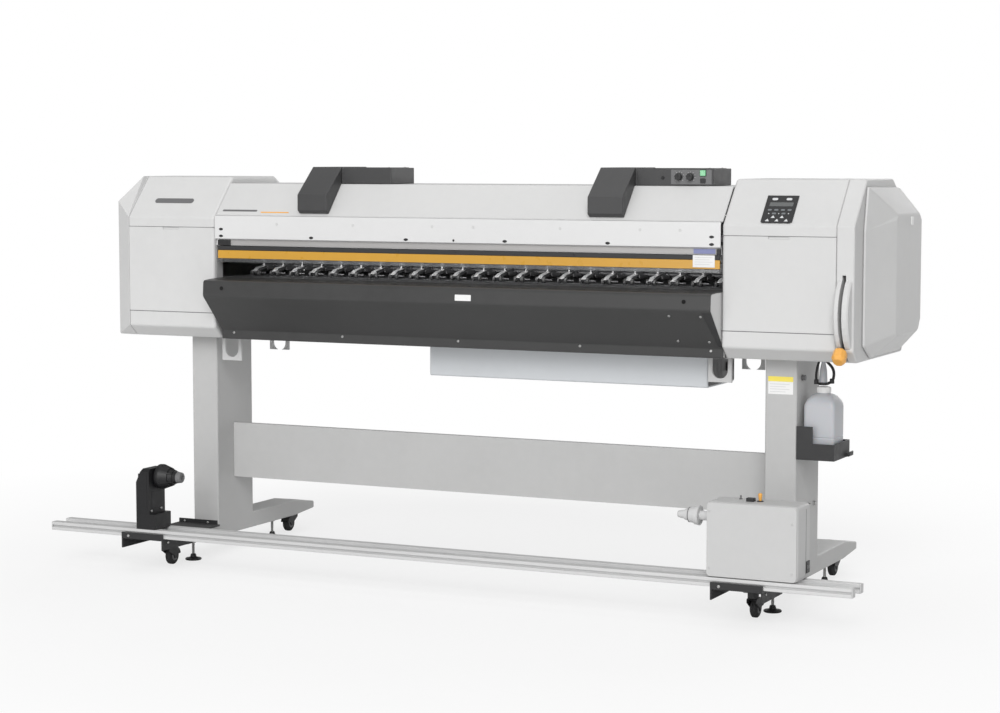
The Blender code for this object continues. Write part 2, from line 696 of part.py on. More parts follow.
def make_ground_contacts():
    """Casters and screw feet under both legs."""
    for side, x in (("left", LEFT_LEG_X), ("right", RIGHT_LEG_X)):
        caster("caster_front_" + side, x, FRONT_WHEEL_Y, FRONT_WHEEL_Y - CASTER_TRAIL, FRONT_CASTER_TOP)
        caster("caster_rear_" + side, x, REAR_WHEEL_Y, REAR_WHEEL_Y + CASTER_TRAIL, REAR_CASTER_TOP)
        leveling_foot("leveling_foot_front_" + side, x + PAD_SHIFT_X, FRONT_PAD_Y)
        leveling_foot("leveling_foot_rear_" + side, x + PAD_SHIFT_X, REAR_PAD_Y)


# ================================================================== waste bottle
def make_waste_bottle():
    """Tray on the right leg and the bottle that lifts out of it."""
    left = RIGHT_LEG_X + LEG_HALF + GAP
    holder = add_object("bottle_holder", block(left, left + 0.116, 0.100, 0.252, 0.438, 0.487), CHARCOAL)
    join(holder, block(left, left + 0.049, 0.100, 0.104, 0.480, 0.537))
    cut(holder, block(left + 0.004, left + 0.112, 0.104, 0.248, 0.442, 0.500))
    smooth(holder)
    x = left + 0.0590
    y = 0.176
    loops = []
    for z, half_x, half_y in ((0.4426, 0.0430, 0.0455), (0.4470, 0.0475, 0.0500), (0.5950, 0.0475, 0.0500),
                              (0.6180, 0.0410, 0.0430), (0.6310, 0.0210, 0.0220), (0.6312, 0.0175, 0.0175),
                              (0.6500, 0.0175, 0.0175)):
        loop = []
        for i in range(16):
            angle = 2.0 * math.pi * (i + 0.5) / 16
            u = math.copysign(abs(math.cos(angle)) ** 0.45, math.cos(angle))
            v = math.copysign(abs(math.sin(angle)) ** 0.45, math.sin(angle))
            if half_x < 0.030:
                u, v = math.cos(angle), math.sin(angle)
            loop.append((x + half_x * u, y + half_y * v, z))
        loops.append(loop)
    bottle = add_object("waste_bottle", loft(loops), BOTTLE_WHITE, (x, y, 0.4426))
    smooth(bottle, 40.0)


# ================================================================== take-up unit
def takeup_bracket(name, x):
    """Channel bolted round the front end of one foot; the two rails lie on it."""
    low, high = x - 0.0785, x + 0.0785
    top = TAKEUP_RAIL_Z - GAP
    bracket = add_object(name, block(low, high, -0.2760, 0.0600, 0.1056, top), BLACK_METAL)
    join(bracket, block(low, high, -0.2760, -0.2710, 0.1058, 0.1260))
    join(bracket, block(low, high - 0.0080, 0.0550, 0.0600, 0.1058, 0.1240))
    for x0, x1 in ((low, low + 0.005), (high - 0.005, high)):
        join(bracket, block(x0 + 0.0002, x1 - 0.0002, -0.2758, -0.1000, 0.0750, top - 0.0002))
    smooth(bracket)


def make_takeup():
    """Rails, their brackets, the sliding idler holder and the motor box with its cones."""
    for name, y in (("takeup_rail_front", TAKEUP_FRONT), ("takeup_rail_rear", TAKEUP_FRONT + TAKEUP_PITCH)):
        bar = block(RAIL_LEFT, RAIL_RIGHT, y, y + TAKEUP_RAIL, TAKEUP_RAIL_Z, TAKEUP_RAIL_Z + TAKEUP_RAIL)
        rail = add_object(name, bar, ALUMINIUM)
        soften(rail, 0.0015, 1)
        smooth(rail)
    takeup_bracket("takeup_bracket_left", LEFT_LEG_X)
    takeup_bracket("takeup_bracket_right", RIGHT_LEG_X)
    base_z = TAKEUP_RAIL_Z + TAKEUP_RAIL + GAP
    box = add_object("takeup_motor_box", block(0.932, 1.204, -0.270, -0.152, base_z, 0.3555), BOX_GREY)
    soften(box, 0.012, 3)
    smooth(box)
    toggle_x = 1.073
    toggle = lathe([(0.3575, 0.0040), (0.3600, 0.0045), (0.3750, 0.0062), (0.3790, 0.0040)], "Z",
                   (toggle_x, SPINDLE_Y, 0.0), 12)
    smooth(add_object("takeup_toggle", toggle, ORANGE, (toggle_x, SPINDLE_Y, 0.3575)))
    column = [
        (-0.271, base_z), (-0.148, base_z), (-0.148, 0.183), (-0.181, 0.186),
        (-0.181, 0.324), (-0.191, 0.334), (-0.261, 0.334), (-0.271, 0.324),
    ]
    holder = add_object("idler_holder", prism(column, "X", -1.0060, -0.9570), BLACK_PLASTIC,
                        (-0.957, SPINDLE_Y, SPINDLE_Z))
    corner = [(-1.020, 0.2605), (-0.980, 0.3445), (-1.020, 0.3445)]
    cut(holder, prism(corner, "Y", -0.30, -0.14))
    join(holder, block(-1.0050, -0.9350, -0.2715, -0.1870, base_z + 0.0001, 0.1880))
    soften(holder, 0.003, 1, 30.0)
    smooth(holder)
    idler = [(-0.9566, 0.030), (-0.9480, 0.039), (-0.9220, 0.039), (-0.9000, 0.027),
             (-0.8860, 0.023), (-0.8780, 0.017), (-0.8700, 0.015)]
    centre = (0.0, SPINDLE_Y, SPINDLE_Z)
    cone = add_object("idler_cone", lathe(idler, "X", centre, 24), BLACK_PLASTIC, (-0.9566, SPINDLE_Y, SPINDLE_Z))
    smooth(cone)
    drive = [(0.8270, 0.0140), (0.8310, 0.0175), (0.8520, 0.0190), (0.8525, 0.0230),
             (0.8800, 0.0240), (0.8805, 0.0275), (0.9220, 0.0285), (0.9316, 0.0230)]
    drum = add_object("drive_cone", lathe(drive, "X", centre, 24), PALE_METAL, (0.9316, SPINDLE_Y, SPINDLE_Z))
    smooth(drum)


# ================================================================== build
clear_scene()
SHELL_WHITE = material("shell_white", (0.78, 0.78, 0.77), 0.45)
PLATE_WHITE = material("plate_white", (0.90, 0.90, 0.90), 0.40)
CHARCOAL = material("charcoal", (0.055, 0.055, 0.058), 0.50)
DARK_PLASTIC = material("dark_plastic", (0.10, 0.10, 0.11), 0.45)
BLACK_PLASTIC = material("black_plastic", (0.020, 0.020, 0.022), 0.45)
BLACK_METAL = material("black_metal", (0.018, 0.018, 0.020), 0.50, 0.3)
DUCT_GREY = material("duct_grey", (0.125, 0.125, 0.130), 0.50)
ORANGE = material("orange_plastic", (0.85, 0.42, 0.06), 0.40)
AMBER = material("amber_acrylic", (0.72, 0.38, 0.06), 0.20)
STEEL = material("steel", (0.55, 0.55, 0.56), 0.30, 1.0)
STEEL_GREY = material("steel_grey", (0.28, 0.28, 0.29), 0.50, 0.4)
PLATEN_GREY = material("platen_grey", (0.20, 0.20, 0.21), 0.45, 0.5)
PALE_METAL = material("pale_metal", (0.58, 0.60, 0.62), 0.45, 0.3)
LEG_GREY = material("leg_grey", (0.50, 0.50, 0.50), 0.50)
BOX_GREY = material("box_grey", (0.62, 0.62, 0.62), 0.50)
RUBBER = material("rubber", (0.025, 0.025, 0.027), 0.75)
ALUMINIUM = material("aluminium", (0.60, 0.61, 0.62), 0.35, 0.9)
BOTTLE_WHITE = material("bottle_white", (0.80, 0.81, 0.83), 0.35)
GREEN = material("green_lens", (0.35, 0.80, 0.45), 0.30)

ROOT = bpy.data.objects.new("machine_frame", None)
bpy.context.scene.collection.objects.link(ROOT)
ROOT.location = (FRAME_X, FRAME_Y, 0.0)

make_housings()
make_hood()
make_front_cover()
make_bed()
make_rollers()
make_carriage()
make_power_box()
lift_bracket("lift_bracket_left", -0.870)
lift_bracket("lift_bracket_right", 0.838)
make_ducts()
make_stand()
make_ground_contacts()
make_waste_bottle()
make_takeup()
bpy.context.view_layer.update()
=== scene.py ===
import math

import bmesh
import bpy
from mathutils import Matrix, Vector


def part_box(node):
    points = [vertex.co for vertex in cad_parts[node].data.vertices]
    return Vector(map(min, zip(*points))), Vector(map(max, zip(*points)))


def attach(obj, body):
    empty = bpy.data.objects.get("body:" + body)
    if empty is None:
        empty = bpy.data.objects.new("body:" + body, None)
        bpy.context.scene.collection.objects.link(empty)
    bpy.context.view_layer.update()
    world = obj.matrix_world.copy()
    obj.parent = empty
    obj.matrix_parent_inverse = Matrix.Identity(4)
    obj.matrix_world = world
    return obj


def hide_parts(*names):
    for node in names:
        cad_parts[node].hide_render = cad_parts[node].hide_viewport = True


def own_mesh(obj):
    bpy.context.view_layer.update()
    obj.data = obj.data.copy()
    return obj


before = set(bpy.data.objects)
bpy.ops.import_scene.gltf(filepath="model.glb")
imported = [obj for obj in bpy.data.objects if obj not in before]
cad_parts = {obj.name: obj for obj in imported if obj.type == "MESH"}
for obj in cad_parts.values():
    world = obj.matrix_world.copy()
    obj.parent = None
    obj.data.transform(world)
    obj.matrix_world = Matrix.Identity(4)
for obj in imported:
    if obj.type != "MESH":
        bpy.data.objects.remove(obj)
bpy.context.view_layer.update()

# Positions below are in the machine's own frame: X = 0 in the middle of the media opening,
# Y = 0 on the front of the end doors, Z = 0 on the floor. ORIGIN moves them to the row frame.
DOOR_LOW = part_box("right_door")[0]
ORIGIN = Vector((0.5 * (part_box("left_door")[1].x + DOOR_LOW.x), DOOR_LOW.y, 0.0))
ROOT = "machine"

RIGHT = Vector((1.0, 0.0, 0.0))
LEFT = Vector((-1.0, 0.0, 0.0))
BACK = Vector((0.0, 1.0, 0.0))
FRONT = Vector((0.0, -1.0, 0.0))
UP = Vector((0.0, 0.0, 1.0))
DOWN = Vector((0.0, 0.0, -1.0))
# A face is given by its directions across, up and outwards.
FRONT_FACE = (RIGHT, UP, FRONT)
REAR_FACE = (RIGHT, UP, BACK)
SIDE_FACE = (BACK, UP, RIGHT)
TOP_FACE = (RIGHT, BACK, UP)
EDGE_ANGLE = 40.0
LEG_XS = (-0.9825, 1.0265)


def span(name):
    """Limits of a node's box in the machine's own frame: x0, x1, y0, y1, z0, z1."""
    low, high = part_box(name)
    return low.x - ORIGIN.x, high.x - ORIGIN.x, low.y - ORIGIN.y, high.y - ORIGIN.y, low.z, high.z


def middle(name):
    """Centre of a node's box in the machine's own frame."""
    x0, x1, y0, y1, z0, z1 = span(name)
    return 0.5 * (x0 + x1), 0.5 * (y0 + y1), 0.5 * (z0 + z1)


# ----- mesh helpers
# The add_ functions put closed solids into this mesh; piece() takes it and starts the next one.
solids = bmesh.new()


def place(axis, along, a, b):
    """A point from a distance along an axis and two cross coordinates in X, Y, Z order."""
    if axis == "X":
        return Vector((along, a, b))
    if axis == "Y":
        return Vector((a, along, b))
    return Vector((a, b, along))


def add_loft(loops):
    """Closed solid: loops of equal length joined one after another."""
    rings = [[solids.verts.new(point) for point in loop] for loop in loops]
    faces = [solids.faces.new(rings[0]), solids.faces.new(list(reversed(rings[-1])))]
    count = len(rings[0])
    for low, high in zip(rings, rings[1:]):
        for i in range(count):
            j = (i + 1) % count
            faces.append(solids.faces.new((low[i], high[i], high[j], low[j])))
    bmesh.ops.recalc_face_normals(solids, faces=faces)


def add_prism(outline, axis, start, end):
    """Closed solid: a flat outline swept along one axis."""
    add_loft([[place(axis, along, a, b) for a, b in outline] for along in (start, end)])


def add_box(x0, x1, y0, y1, z0, z1):
    """Closed box between two corners."""
    add_prism([(x0, y0), (x1, y0), (x1, y1), (x0, y1)], "Z", z0, z1)


def add_slab(outline, spot, face, low, high):
    """Flat outline on a face at a spot, swept outwards from low to high."""
    across, up, out = face
    flat = [Vector(spot) + across * u + up * v for u, v in outline]
    add_loft([[point + out * height for point in flat] for height in (low, high)])


def add_lathe(profile, axis, centre, steps=24, turn=Matrix.Identity(3)):
    """Closed round solid: (distance, radius) pairs turned about an axis through a centre."""
    loops = []
    for along, radius in profile:
        loop = []
        for i in range(steps):
            angle = 2.0 * math.pi * (i + 0.5) / steps
            point = place(axis, along, radius * math.cos(angle), radius * math.sin(angle))
            loop.append(turn @ point + Vector(centre))
        loops.append(loop)
    add_loft(loops)


def add_knob(profile, spot, out, steps):
    """Round solid that stands on a spot and points outwards."""
    add_lathe(profile, "Z", spot, steps, Vector(out).to_track_quat("Z", "Y").to_matrix())


def add_screw(spot, out, radius, height):
    """Pan head with a socket in its top."""
    add_knob([(-0.0004, radius), (height * 0.55, radius), (height * 0.9, radius * 0.82),
        (height, radius * 0.6), (height, radius * 0.42), (height * 0.35, radius * 0.36)], spot, out, 18)


def add_rod(axis, start, end, radius, end_radius, chamfer, centre, steps):
    """Round bar with chamfered ends."""
    add_lathe([(start, end_radius), (start + chamfer, radius), (end - chamfer, radius), (end, end_radius)],
        axis, centre, steps)


def add_tube(points, radius, steps, parts):
    """Round bar or hose along a smooth path through the points."""
    spots = [Vector(p) for p in points]
    line = []
    for i in range(len(spots) - 1):
        p0 = spots[max(i - 1, 0)]
        p1 = spots[i]
        p2 = spots[i + 1]
        p3 = spots[min(i + 2, len(spots) - 1)]
        for k in range(parts):
            t = k / parts
            line.append(0.5 * (2 * p1 + (p2 - p0) * t + (2 * p0 - 5 * p1 + 4 * p2 - p3) * t * t
                               + (3 * p1 - p0 - 3 * p2 + p3) * t ** 3))
    line.append(spots[-1])
    loops = []
    side = None
    for i, spot in enumerate(line):
        ahead = (line[min(i + 1, len(line) - 1)] - line[max(i - 1, 0)]).normalized()
        if side is None:
            side = ahead.orthogonal().normalized()
        side = (side - ahead * side.dot(ahead)).normalized()
        other = ahead.cross(side)
        loop = []
        for k in range(steps):
            angle = 2.0 * math.pi * k / steps
            loop.append(spot + side * (radius * math.cos(angle)) + other * (radius * math.sin(angle)))
        loops.append(loop)
    add_loft(loops)


def rounded(width, height, radius, steps=5, centre=(0.0, 0.0)):
    """Outline of a rectangle with round corners."""
    points = []
    for sx, sy, start in ((1, 1, 0.0), (-1, 1, 0.5), (-1, -1, 1.0), (1, -1, 1.5)):
        for i in range(steps):
            angle = math.pi * (start + 0.5 * i / (steps - 1))
            x = centre[0] + sx * (0.5 * width - radius) + radius * math.cos(angle)
            y = centre[1] + sy * (0.5 * height - radius) + radius * math.sin(angle)
            points.append((x, y))
    return points


def lens(width, height, steps=24):
    """Outline of a pointed oval."""
    points = []
    for i in range(steps):
        angle = 2.0 * math.pi * i / steps
        reach = abs(math.cos(angle)) ** 1.35
        points.append((math.copysign(0.5 * width * reach, math.cos(angle)), 0.5 * height * math.sin(angle)))
    return points


def fillet(path, radii, steps):
    """Open path with its inner corners rounded."""
    points = [path[0]]
    for i in range(1, len(path) - 1):
        here = Vector(path[i])
        back = Vector(path[i - 1]) - here
        ahead = Vector(path[i + 1]) - here
        half = 0.5 * back.angle(ahead)
        reach = min(radii[i - 1] / math.tan(half), 0.49 * back.length, 0.49 * ahead.length)
        start = here + back.normalized() * reach
        end = here + ahead.normalized() * reach
        for k in range(steps + 1):
            t = k / steps
            spot = start * (1 - t) ** 2 + here * (2 * t * (1 - t)) + end * t ** 2
            points.append((spot.x, spot.y))
    points.append(path[-1])
    return points


def sheet(path, thickness):
    """Outline of a bent sheet: a path and its copy moved to the path's right side."""
    offset = []
    for i, point in enumerate(path):
        normals = []
        for first, second in ((i - 1, i), (i, i + 1)):
            if first >= 0 and second < len(path):
                step = (Vector(path[second]) - Vector(path[first])).normalized()
                normals.append(Vector((step.y, -step.x)))
        middle_normal = sum(normals, Vector((0.0, 0.0))).normalized()
        moved = Vector(point) + middle_normal * (thickness / middle_normal.dot(normals[0]))
        offset.append((moved.x, moved.y))
    return list(path) + list(reversed(offset))


def piece(name, material, body=ROOT, angle=32.0, bevel=0.0, segments=2, replaces=None):
    """Turn the waiting solids into a named object that rides on a body."""
    global solids
    bmesh.ops.translate(solids, verts=solids.verts, vec=ORIGIN)
    mesh = bpy.data.meshes.new(name)
    solids.to_mesh(mesh)
    solids.free()
    solids = bmesh.new()
    mesh.materials.append(material)
    item = bpy.data.objects.new(name, mesh)
    bpy.context.scene.collection.objects.link(item)
    mesh.shade_smooth()
    mesh.set_sharp_from_angle(angle=math.radians(angle))
    if bevel > 0.0:
        modifier = item.modifiers.new("edges", "BEVEL")
        modifier.width = bevel
        modifier.segments = segments
        modifier.limit_method = "ANGLE"
        modifier.angle_limit = math.radians(EDGE_ANGLE)
        mesh.set_sharp_from_angle(angle=math.radians(180.0))
        item.modifiers.new("shading", "WEIGHTED_NORMAL").keep_sharp = True
    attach(item, body)
    if replaces is not None:
        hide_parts(replaces)
    return item


# ----- materials
def node(tree, kind, values=None, links=None, **settings):
    """One shader node with its settings, input values and links."""
    item = tree.nodes.new(kind)
    for key, value in settings.items():
        setattr(item, key, value)
    for key, value in (values or {}).items():
        item.inputs[key].default_value = value
    for key, source in (links or {}).items():
        tree.links.new(source, item.inputs[key])
    return item


def noise(tree, scale, detail, vector, **values):
    """Noise texture read along a vector."""
    settings = {"Scale": scale, "Detail": detail, **values}
    return node(tree, "ShaderNodeTexNoise", settings, {"Vector": vector}).outputs[0]


def multiply(tree, one, two):
    """Product of two sockets."""
    return node(tree, "ShaderNodeMath", links={0: one, 1: two}, operation="MULTIPLY").outputs[0]


def mix_colour(tree, factor, shade, colour):
    """Mix a colour socket with a plain colour."""
    item = node(tree, "ShaderNodeMix", data_type="RGBA")
    tree.links.new(factor, item.inputs[0])
    tree.links.new(shade, item.inputs[6])
    item.inputs[7].default_value = (*colour, 1.0)
    return item.outputs[2]


def remap(tree, source, low, high, to_low, to_high):
    """Linear map of one value onto another range."""
    return node(tree, "ShaderNodeMapRange", {1: low, 2: high, 3: to_low, 4: to_high},
        {0: source}).outputs[0]


def finish(name, colour, rough, metallic=0.0, mottle=0.03, grain=900.0, depth=0.00003, peel=0.0,
        stretch=(1.0, 1.0, 1.0), edge=0.3, edge_colour=None, coat=0.0, transmission=0.0, subsurface=0.0,
        dust=0.0, glow=0.0, round_edge=0.0012):
    """Layered procedural surface: mottled colour, grain, soft edges and a little edge wear."""
    material = bpy.data.materials.new(name)
    material.use_nodes = True
    tree = material.node_tree
    tree.nodes.clear()
    out = node(tree, "ShaderNodeOutputMaterial")
    coords = node(tree, "ShaderNodeTexCoord").outputs["Object"]
    mapped = node(tree, "ShaderNodeMapping", {"Scale": stretch}, {"Vector": coords}).outputs[0]
    broad = noise(tree, 4.0, 6.0, coords, Roughness=0.6)
    patch = noise(tree, 38.0, 4.0, mapped)
    fine = noise(tree, grain, 3.0, mapped, Roughness=0.65)
    tone = multiply(tree, remap(tree, broad, 0.3, 0.7, 1.0 - mottle, 1.0 + mottle),
        remap(tree, patch, 0.3, 0.7, 1.0 - 0.5 * mottle, 1.0 + 0.5 * mottle))
    tone = multiply(tree, tone, remap(tree, fine, 0.3, 0.7, 1.0 - 0.6 * mottle, 1.0 + 0.6 * mottle))
    shade = node(tree, "ShaderNodeHueSaturation", {"Color": (*colour, 1.0)}, {"Value": tone}).outputs[0]
    bevel = node(tree, "ShaderNodeBevel", {"Radius": round_edge}, samples=4).outputs[0]
    geometry = node(tree, "ShaderNodeNewGeometry")
    agree = node(tree, "ShaderNodeVectorMath", operation="DOT_PRODUCT",
        links={0: bevel, 1: geometry.outputs["Normal"]}).outputs["Value"]
    worn = multiply(tree, remap(tree, agree, 0.99, 0.86, 0.0, edge),
        remap(tree, patch, 0.42, 0.62, 0.15, 1.0))
    shade = mix_colour(tree, worn, shade, edge_colour or tuple(min(1.0, c * 1.25 + 0.02) for c in colour))
    if dust > 0.0:
        up = node(tree, "ShaderNodeSeparateXYZ", links={0: geometry.outputs["Normal"]}).outputs[2]
        lying = multiply(tree, remap(tree, up, 0.5, 1.0, 0.0, dust),
            remap(tree, patch, 0.35, 0.7, 0.2, 1.0))
        shade = mix_colour(tree, lying, shade, (0.55, 0.54, 0.52))
    gloss = multiply(tree, remap(tree, patch, 0.3, 0.7, rough * 0.88, rough * 1.12),
        remap(tree, broad, 0.3, 0.7, 0.94, 1.06))
    bump = node(tree, "ShaderNodeBump", {"Strength": 1.0, "Distance": depth},
        {"Height": fine, "Normal": bevel}).outputs[0]
    if peel > 0.0:
        wave = noise(tree, 210.0, 2.0, coords)
        bump = node(tree, "ShaderNodeBump", {"Strength": 1.0, "Distance": peel},
            {"Height": wave, "Normal": bump}).outputs[0]
    shader = node(tree, "ShaderNodeBsdfPrincipled", {"Metallic": metallic, "Coat Weight": coat,
        "Coat Roughness": 0.12, "Transmission Weight": transmission, "IOR": 1.47,
        "Subsurface Weight": subsurface, "Subsurface Scale": 0.004},
        {"Base Color": shade, "Roughness": gloss, "Normal": bump})
    if glow > 0.0:
        tree.links.new(shade, shader.inputs["Emission Color"])
        shader.inputs["Emission Strength"].default_value = glow
    tree.links.new(shader.outputs[0], out.inputs[0])
    material.diffuse_color = (*colour, 1.0)
    return material


def grey(value):
    """Even grey."""
    return (value, value, value)


LONG_GRAIN = (0.03, 1.0, 1.0)
SHELL = finish("shell_textured_grey", (0.585, 0.585, 0.582), 0.46, mottle=0.018, grain=1500.0,
    depth=0.00005, peel=0.00003, edge=0.25)
HOOD = finish("hood_light_grey", (0.575, 0.575, 0.572), 0.42, mottle=0.016, grain=1500.0, depth=0.00004,
    peel=0.00003, edge=0.25)
PLATE = finish("plate_satin_white", grey(0.655), 0.38, mottle=0.012, grain=1200.0, depth=0.00002,
    peel=0.00005, edge=0.2, coat=0.1)
GUIDE = finish("guide_charcoal_coat", grey(0.041), 0.42, mottle=0.07, grain=1100.0, depth=0.00006,
    peel=0.00006, edge=0.5, edge_colour=grey(0.2))
CHARCOAL = finish("charcoal_plastic", (0.027, 0.027, 0.028), 0.48, mottle=0.06, grain=1300.0, depth=0.00006,
    edge=0.4, edge_colour=grey(0.16))
DUCT = finish("duct_dark_grey", (0.05, 0.05, 0.051), 0.46, mottle=0.05, grain=1400.0, depth=0.00007,
    edge=0.4, edge_colour=grey(0.22))
PANEL_GREY = finish("control_plate_grey", (0.14, 0.14, 0.143), 0.4, grain=1300.0)
BLACK = finish("black_moulded", (0.018, 0.018, 0.019), 0.42, mottle=0.08, grain=1400.0, depth=0.00006,
    edge=0.4, edge_colour=grey(0.09))
BLACK_STEEL = finish("black_powder_coat", (0.022, 0.022, 0.023), 0.52, 0.1, mottle=0.08, grain=800.0,
    depth=0.00008, peel=0.00006, edge=0.6, edge_colour=grey(0.16), dust=0.06)
RUBBER = finish("black_rubber", (0.02, 0.02, 0.021), 0.72, mottle=0.12, grain=500.0, depth=0.00012,
    edge_colour=grey(0.08), dust=0.05)
ORANGE = finish("orange_moulded", (0.8, 0.4, 0.085), 0.36, grain=1200.0, depth=0.00004, edge=0.35,
    edge_colour=(0.92, 0.58, 0.22), coat=0.15)
AMBER = finish("amber_sheet", (0.59, 0.315, 0.038), 0.3, mottle=0.02, grain=300.0, depth=0.00001, edge=0.5,
    edge_colour=(0.9, 0.6, 0.2), coat=0.12)
CLEAR = finish("clear_sheet", (0.62, 0.63, 0.64), 0.16, mottle=0.01, grain=300.0, depth=0.0, edge=0.0,
    transmission=0.94)
ROLLER = finish("roller_grey_rubber", grey(0.1), 0.55, mottle=0.06, depth=0.00006)
# Near-black for open holes: painted shade.
HOLE_SHADE = finish("hole_painted_shade", grey(0.004), 0.85, mottle=0.1, depth=0.00002, edge=0.0)
CHEEK = finish("arm_cheek_grey", (0.2, 0.2, 0.205), 0.42, 0.4, mottle=0.05, depth=0.00004, edge=0.4)
STEEL = finish("brushed_steel", (0.56, 0.56, 0.57), 0.3, 1.0, mottle=0.05, depth=0.00004,
    stretch=LONG_GRAIN)
ARM_STEEL = finish("arm_bright_steel", grey(0.66), 0.4, 0.2, mottle=0.05, depth=0.00004,
    stretch=(1.0, 0.05, 1.0))
# Grey of the plate's lower lip: painted shade, for the shadow under the plate's overhang.
LIP_SHADE = finish("lip_painted_shade_grey", (0.4, 0.39, 0.385), 0.4, 0.2, stretch=(0.05, 1.0, 1.0))
SCREW = finish("screw_zinc", (0.46, 0.46, 0.455), 0.36, 1.0, mottle=0.05, grain=1600.0)
FRAME = finish("frame_grey_paint", (0.16, 0.16, 0.165), 0.5, 0.1, mottle=0.06, grain=700.0, depth=0.00006,
    peel=0.00005, edge=0.4)
PLATEN = finish("platen_anodised", (0.17, 0.17, 0.175), 0.4, 0.6, mottle=0.05, grain=1100.0,
    stretch=(0.04, 1.0, 1.0), edge=0.4)
BOX_BLUE = finish("box_blue_grey_coat", (0.56, 0.58, 0.6), 0.44, 0.1, mottle=0.02, depth=0.00005,
    peel=0.00004)
LEG = finish("leg_grey_coat", (0.455, 0.455, 0.452), 0.5, mottle=0.025, depth=0.00007, peel=0.00006)
BOX_GREY = finish("box_light_coat", (0.5, 0.5, 0.498), 0.48, mottle=0.02, depth=0.00006, peel=0.00005)
RAIL = finish("rail_anodised", grey(0.6), 0.36, 0.3, mottle=0.02, grain=1200.0, stretch=LONG_GRAIN)
CONE_GREY = finish("cone_pale_moulded", grey(0.55), 0.45, grain=1200.0, depth=0.00005)
HOLDER = finish("holder_dark_grey", (0.006, 0.006, 0.007), 0.46, mottle=0.06, grain=1300.0, depth=0.00008,
    edge=0.35, edge_colour=grey(0.1))
BOTTLE = finish("bottle_milky", (0.47, 0.48, 0.505), 0.36, mottle=0.02, grain=600.0, edge=0.2,
    transmission=0.06, subsurface=0.12)
GREEN = finish("green_lens", (0.2, 0.52, 0.28), 0.25, grain=800.0, depth=0.00001, coat=0.4, glow=0.12)
FILM = {"grain": 1500.0, "depth": 0.00001, "edge": 0.1, "round_edge": 0.0002}
LABEL = finish("label_white_film", (0.76, 0.76, 0.755), 0.35, mottle=0.01, **FILM)
LABEL_BLUE = finish("label_blue_film", (0.2, 0.22, 0.4), 0.35, mottle=0.02, **FILM)
LABEL_YELLOW = finish("label_yellow_film", (0.82, 0.68, 0.1), 0.35, mottle=0.02, **FILM)
LABEL_GREY = finish("label_grey_film", grey(0.58), 0.35, mottle=0.02, **FILM)
DISPLAY = finish("display_glass", (0.075, 0.08, 0.08), 0.18, mottle=0.05, grain=600.0, depth=0.00001,
    edge=0.2, coat=0.8)
KEY_LIGHT = finish("key_pale", (0.62, 0.63, 0.64), 0.4, mottle=0.02, grain=1200.0)
KEY_DARK = finish("key_slate", (0.16, 0.17, 0.18), 0.42, grain=1200.0, edge=0.4)

NODE_FINISH = (
    (SHELL, "left_housing right_housing left_door right_door left_end_cover right_end_cover lever_guard"),
    (SHELL, "rear_cover"), (HOOD, "hood_cover"), (PLATE, "hood_plate"), (HOLDER, "idler_holder"),
    (CHARCOAL, "loading_lever cover_frame carriage bottle_holder control_panel cap_station"),
    (ORANGE, "lever_knob takeup_toggle"), (BLACK, "duct_dial_left duct_dial_right"),
    (BLACK_STEEL, "takeup_bracket_left takeup_bracket_right"), (DUCT, "left_duct right_duct"),
    (STEEL, "grit_roller cutter_head"), (FRAME, "carriage_rail main_frame"), (PLATEN, "platen"),
    (BOX_BLUE, "power_box"), (BOX_GREY, "lift_bracket_left lift_bracket_right takeup_motor_box"),
    (LEG, "left_stand_leg right_stand_leg stay_panel"), (GREEN, "duct_power_key"),
)


def dress_nodes():
    """Give every CAD node that stays visible its procedural finish."""
    for material, names in NODE_FINISH:
        for name in names.split():
            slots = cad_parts[name].data.materials
            slots.clear()
            slots.append(material)


# ----- front plate and cover
def plate_details():
    """Black screws in oval slots and plugs along the front plate, and the strip behind its upper edge."""
    x0, x1, y = span("hood_plate")[:3]
    spots = [(x, 1.069) for x in (-0.512, -0.171, 0.171, 0.512)]
    spots += [(x, z) for x in (-0.85, 0.842) for z in (1.0925, 1.0705)]
    for x, z in spots:
        add_slab(lens(0.0155, 0.0086), (x, y, z), FRONT_FACE, -0.0003, 0.0007)
        add_screw((x, y - 0.0006, z), FRONT, 0.0031, 0.0016)
    add_screw((-0.0045, y, 1.069), FRONT, 0.0036, 0.0018)
    piece("plate_screws", BLACK)
    for x in (-0.64, -0.36, -0.079, 0.063, 0.356, 0.616, 0.743):
        add_knob([(-0.0003, 0.0045), (0.0007, 0.0043), (0.001, 0.0034), (0.0006, 0.0022)], (x, y, 1.111),
            FRONT, 20)
    piece("plate_plugs", HOOD)
    strip = [(0.006, 1.1364), (0.01, 1.1364), (0.0118, 1.1384), (0.0092, 1.1384), (0.0058, 1.137)]
    add_prism(strip, "X", x0 + 0.002, x1 - 0.002)
    piece("hood_seam_strip", HOOD)


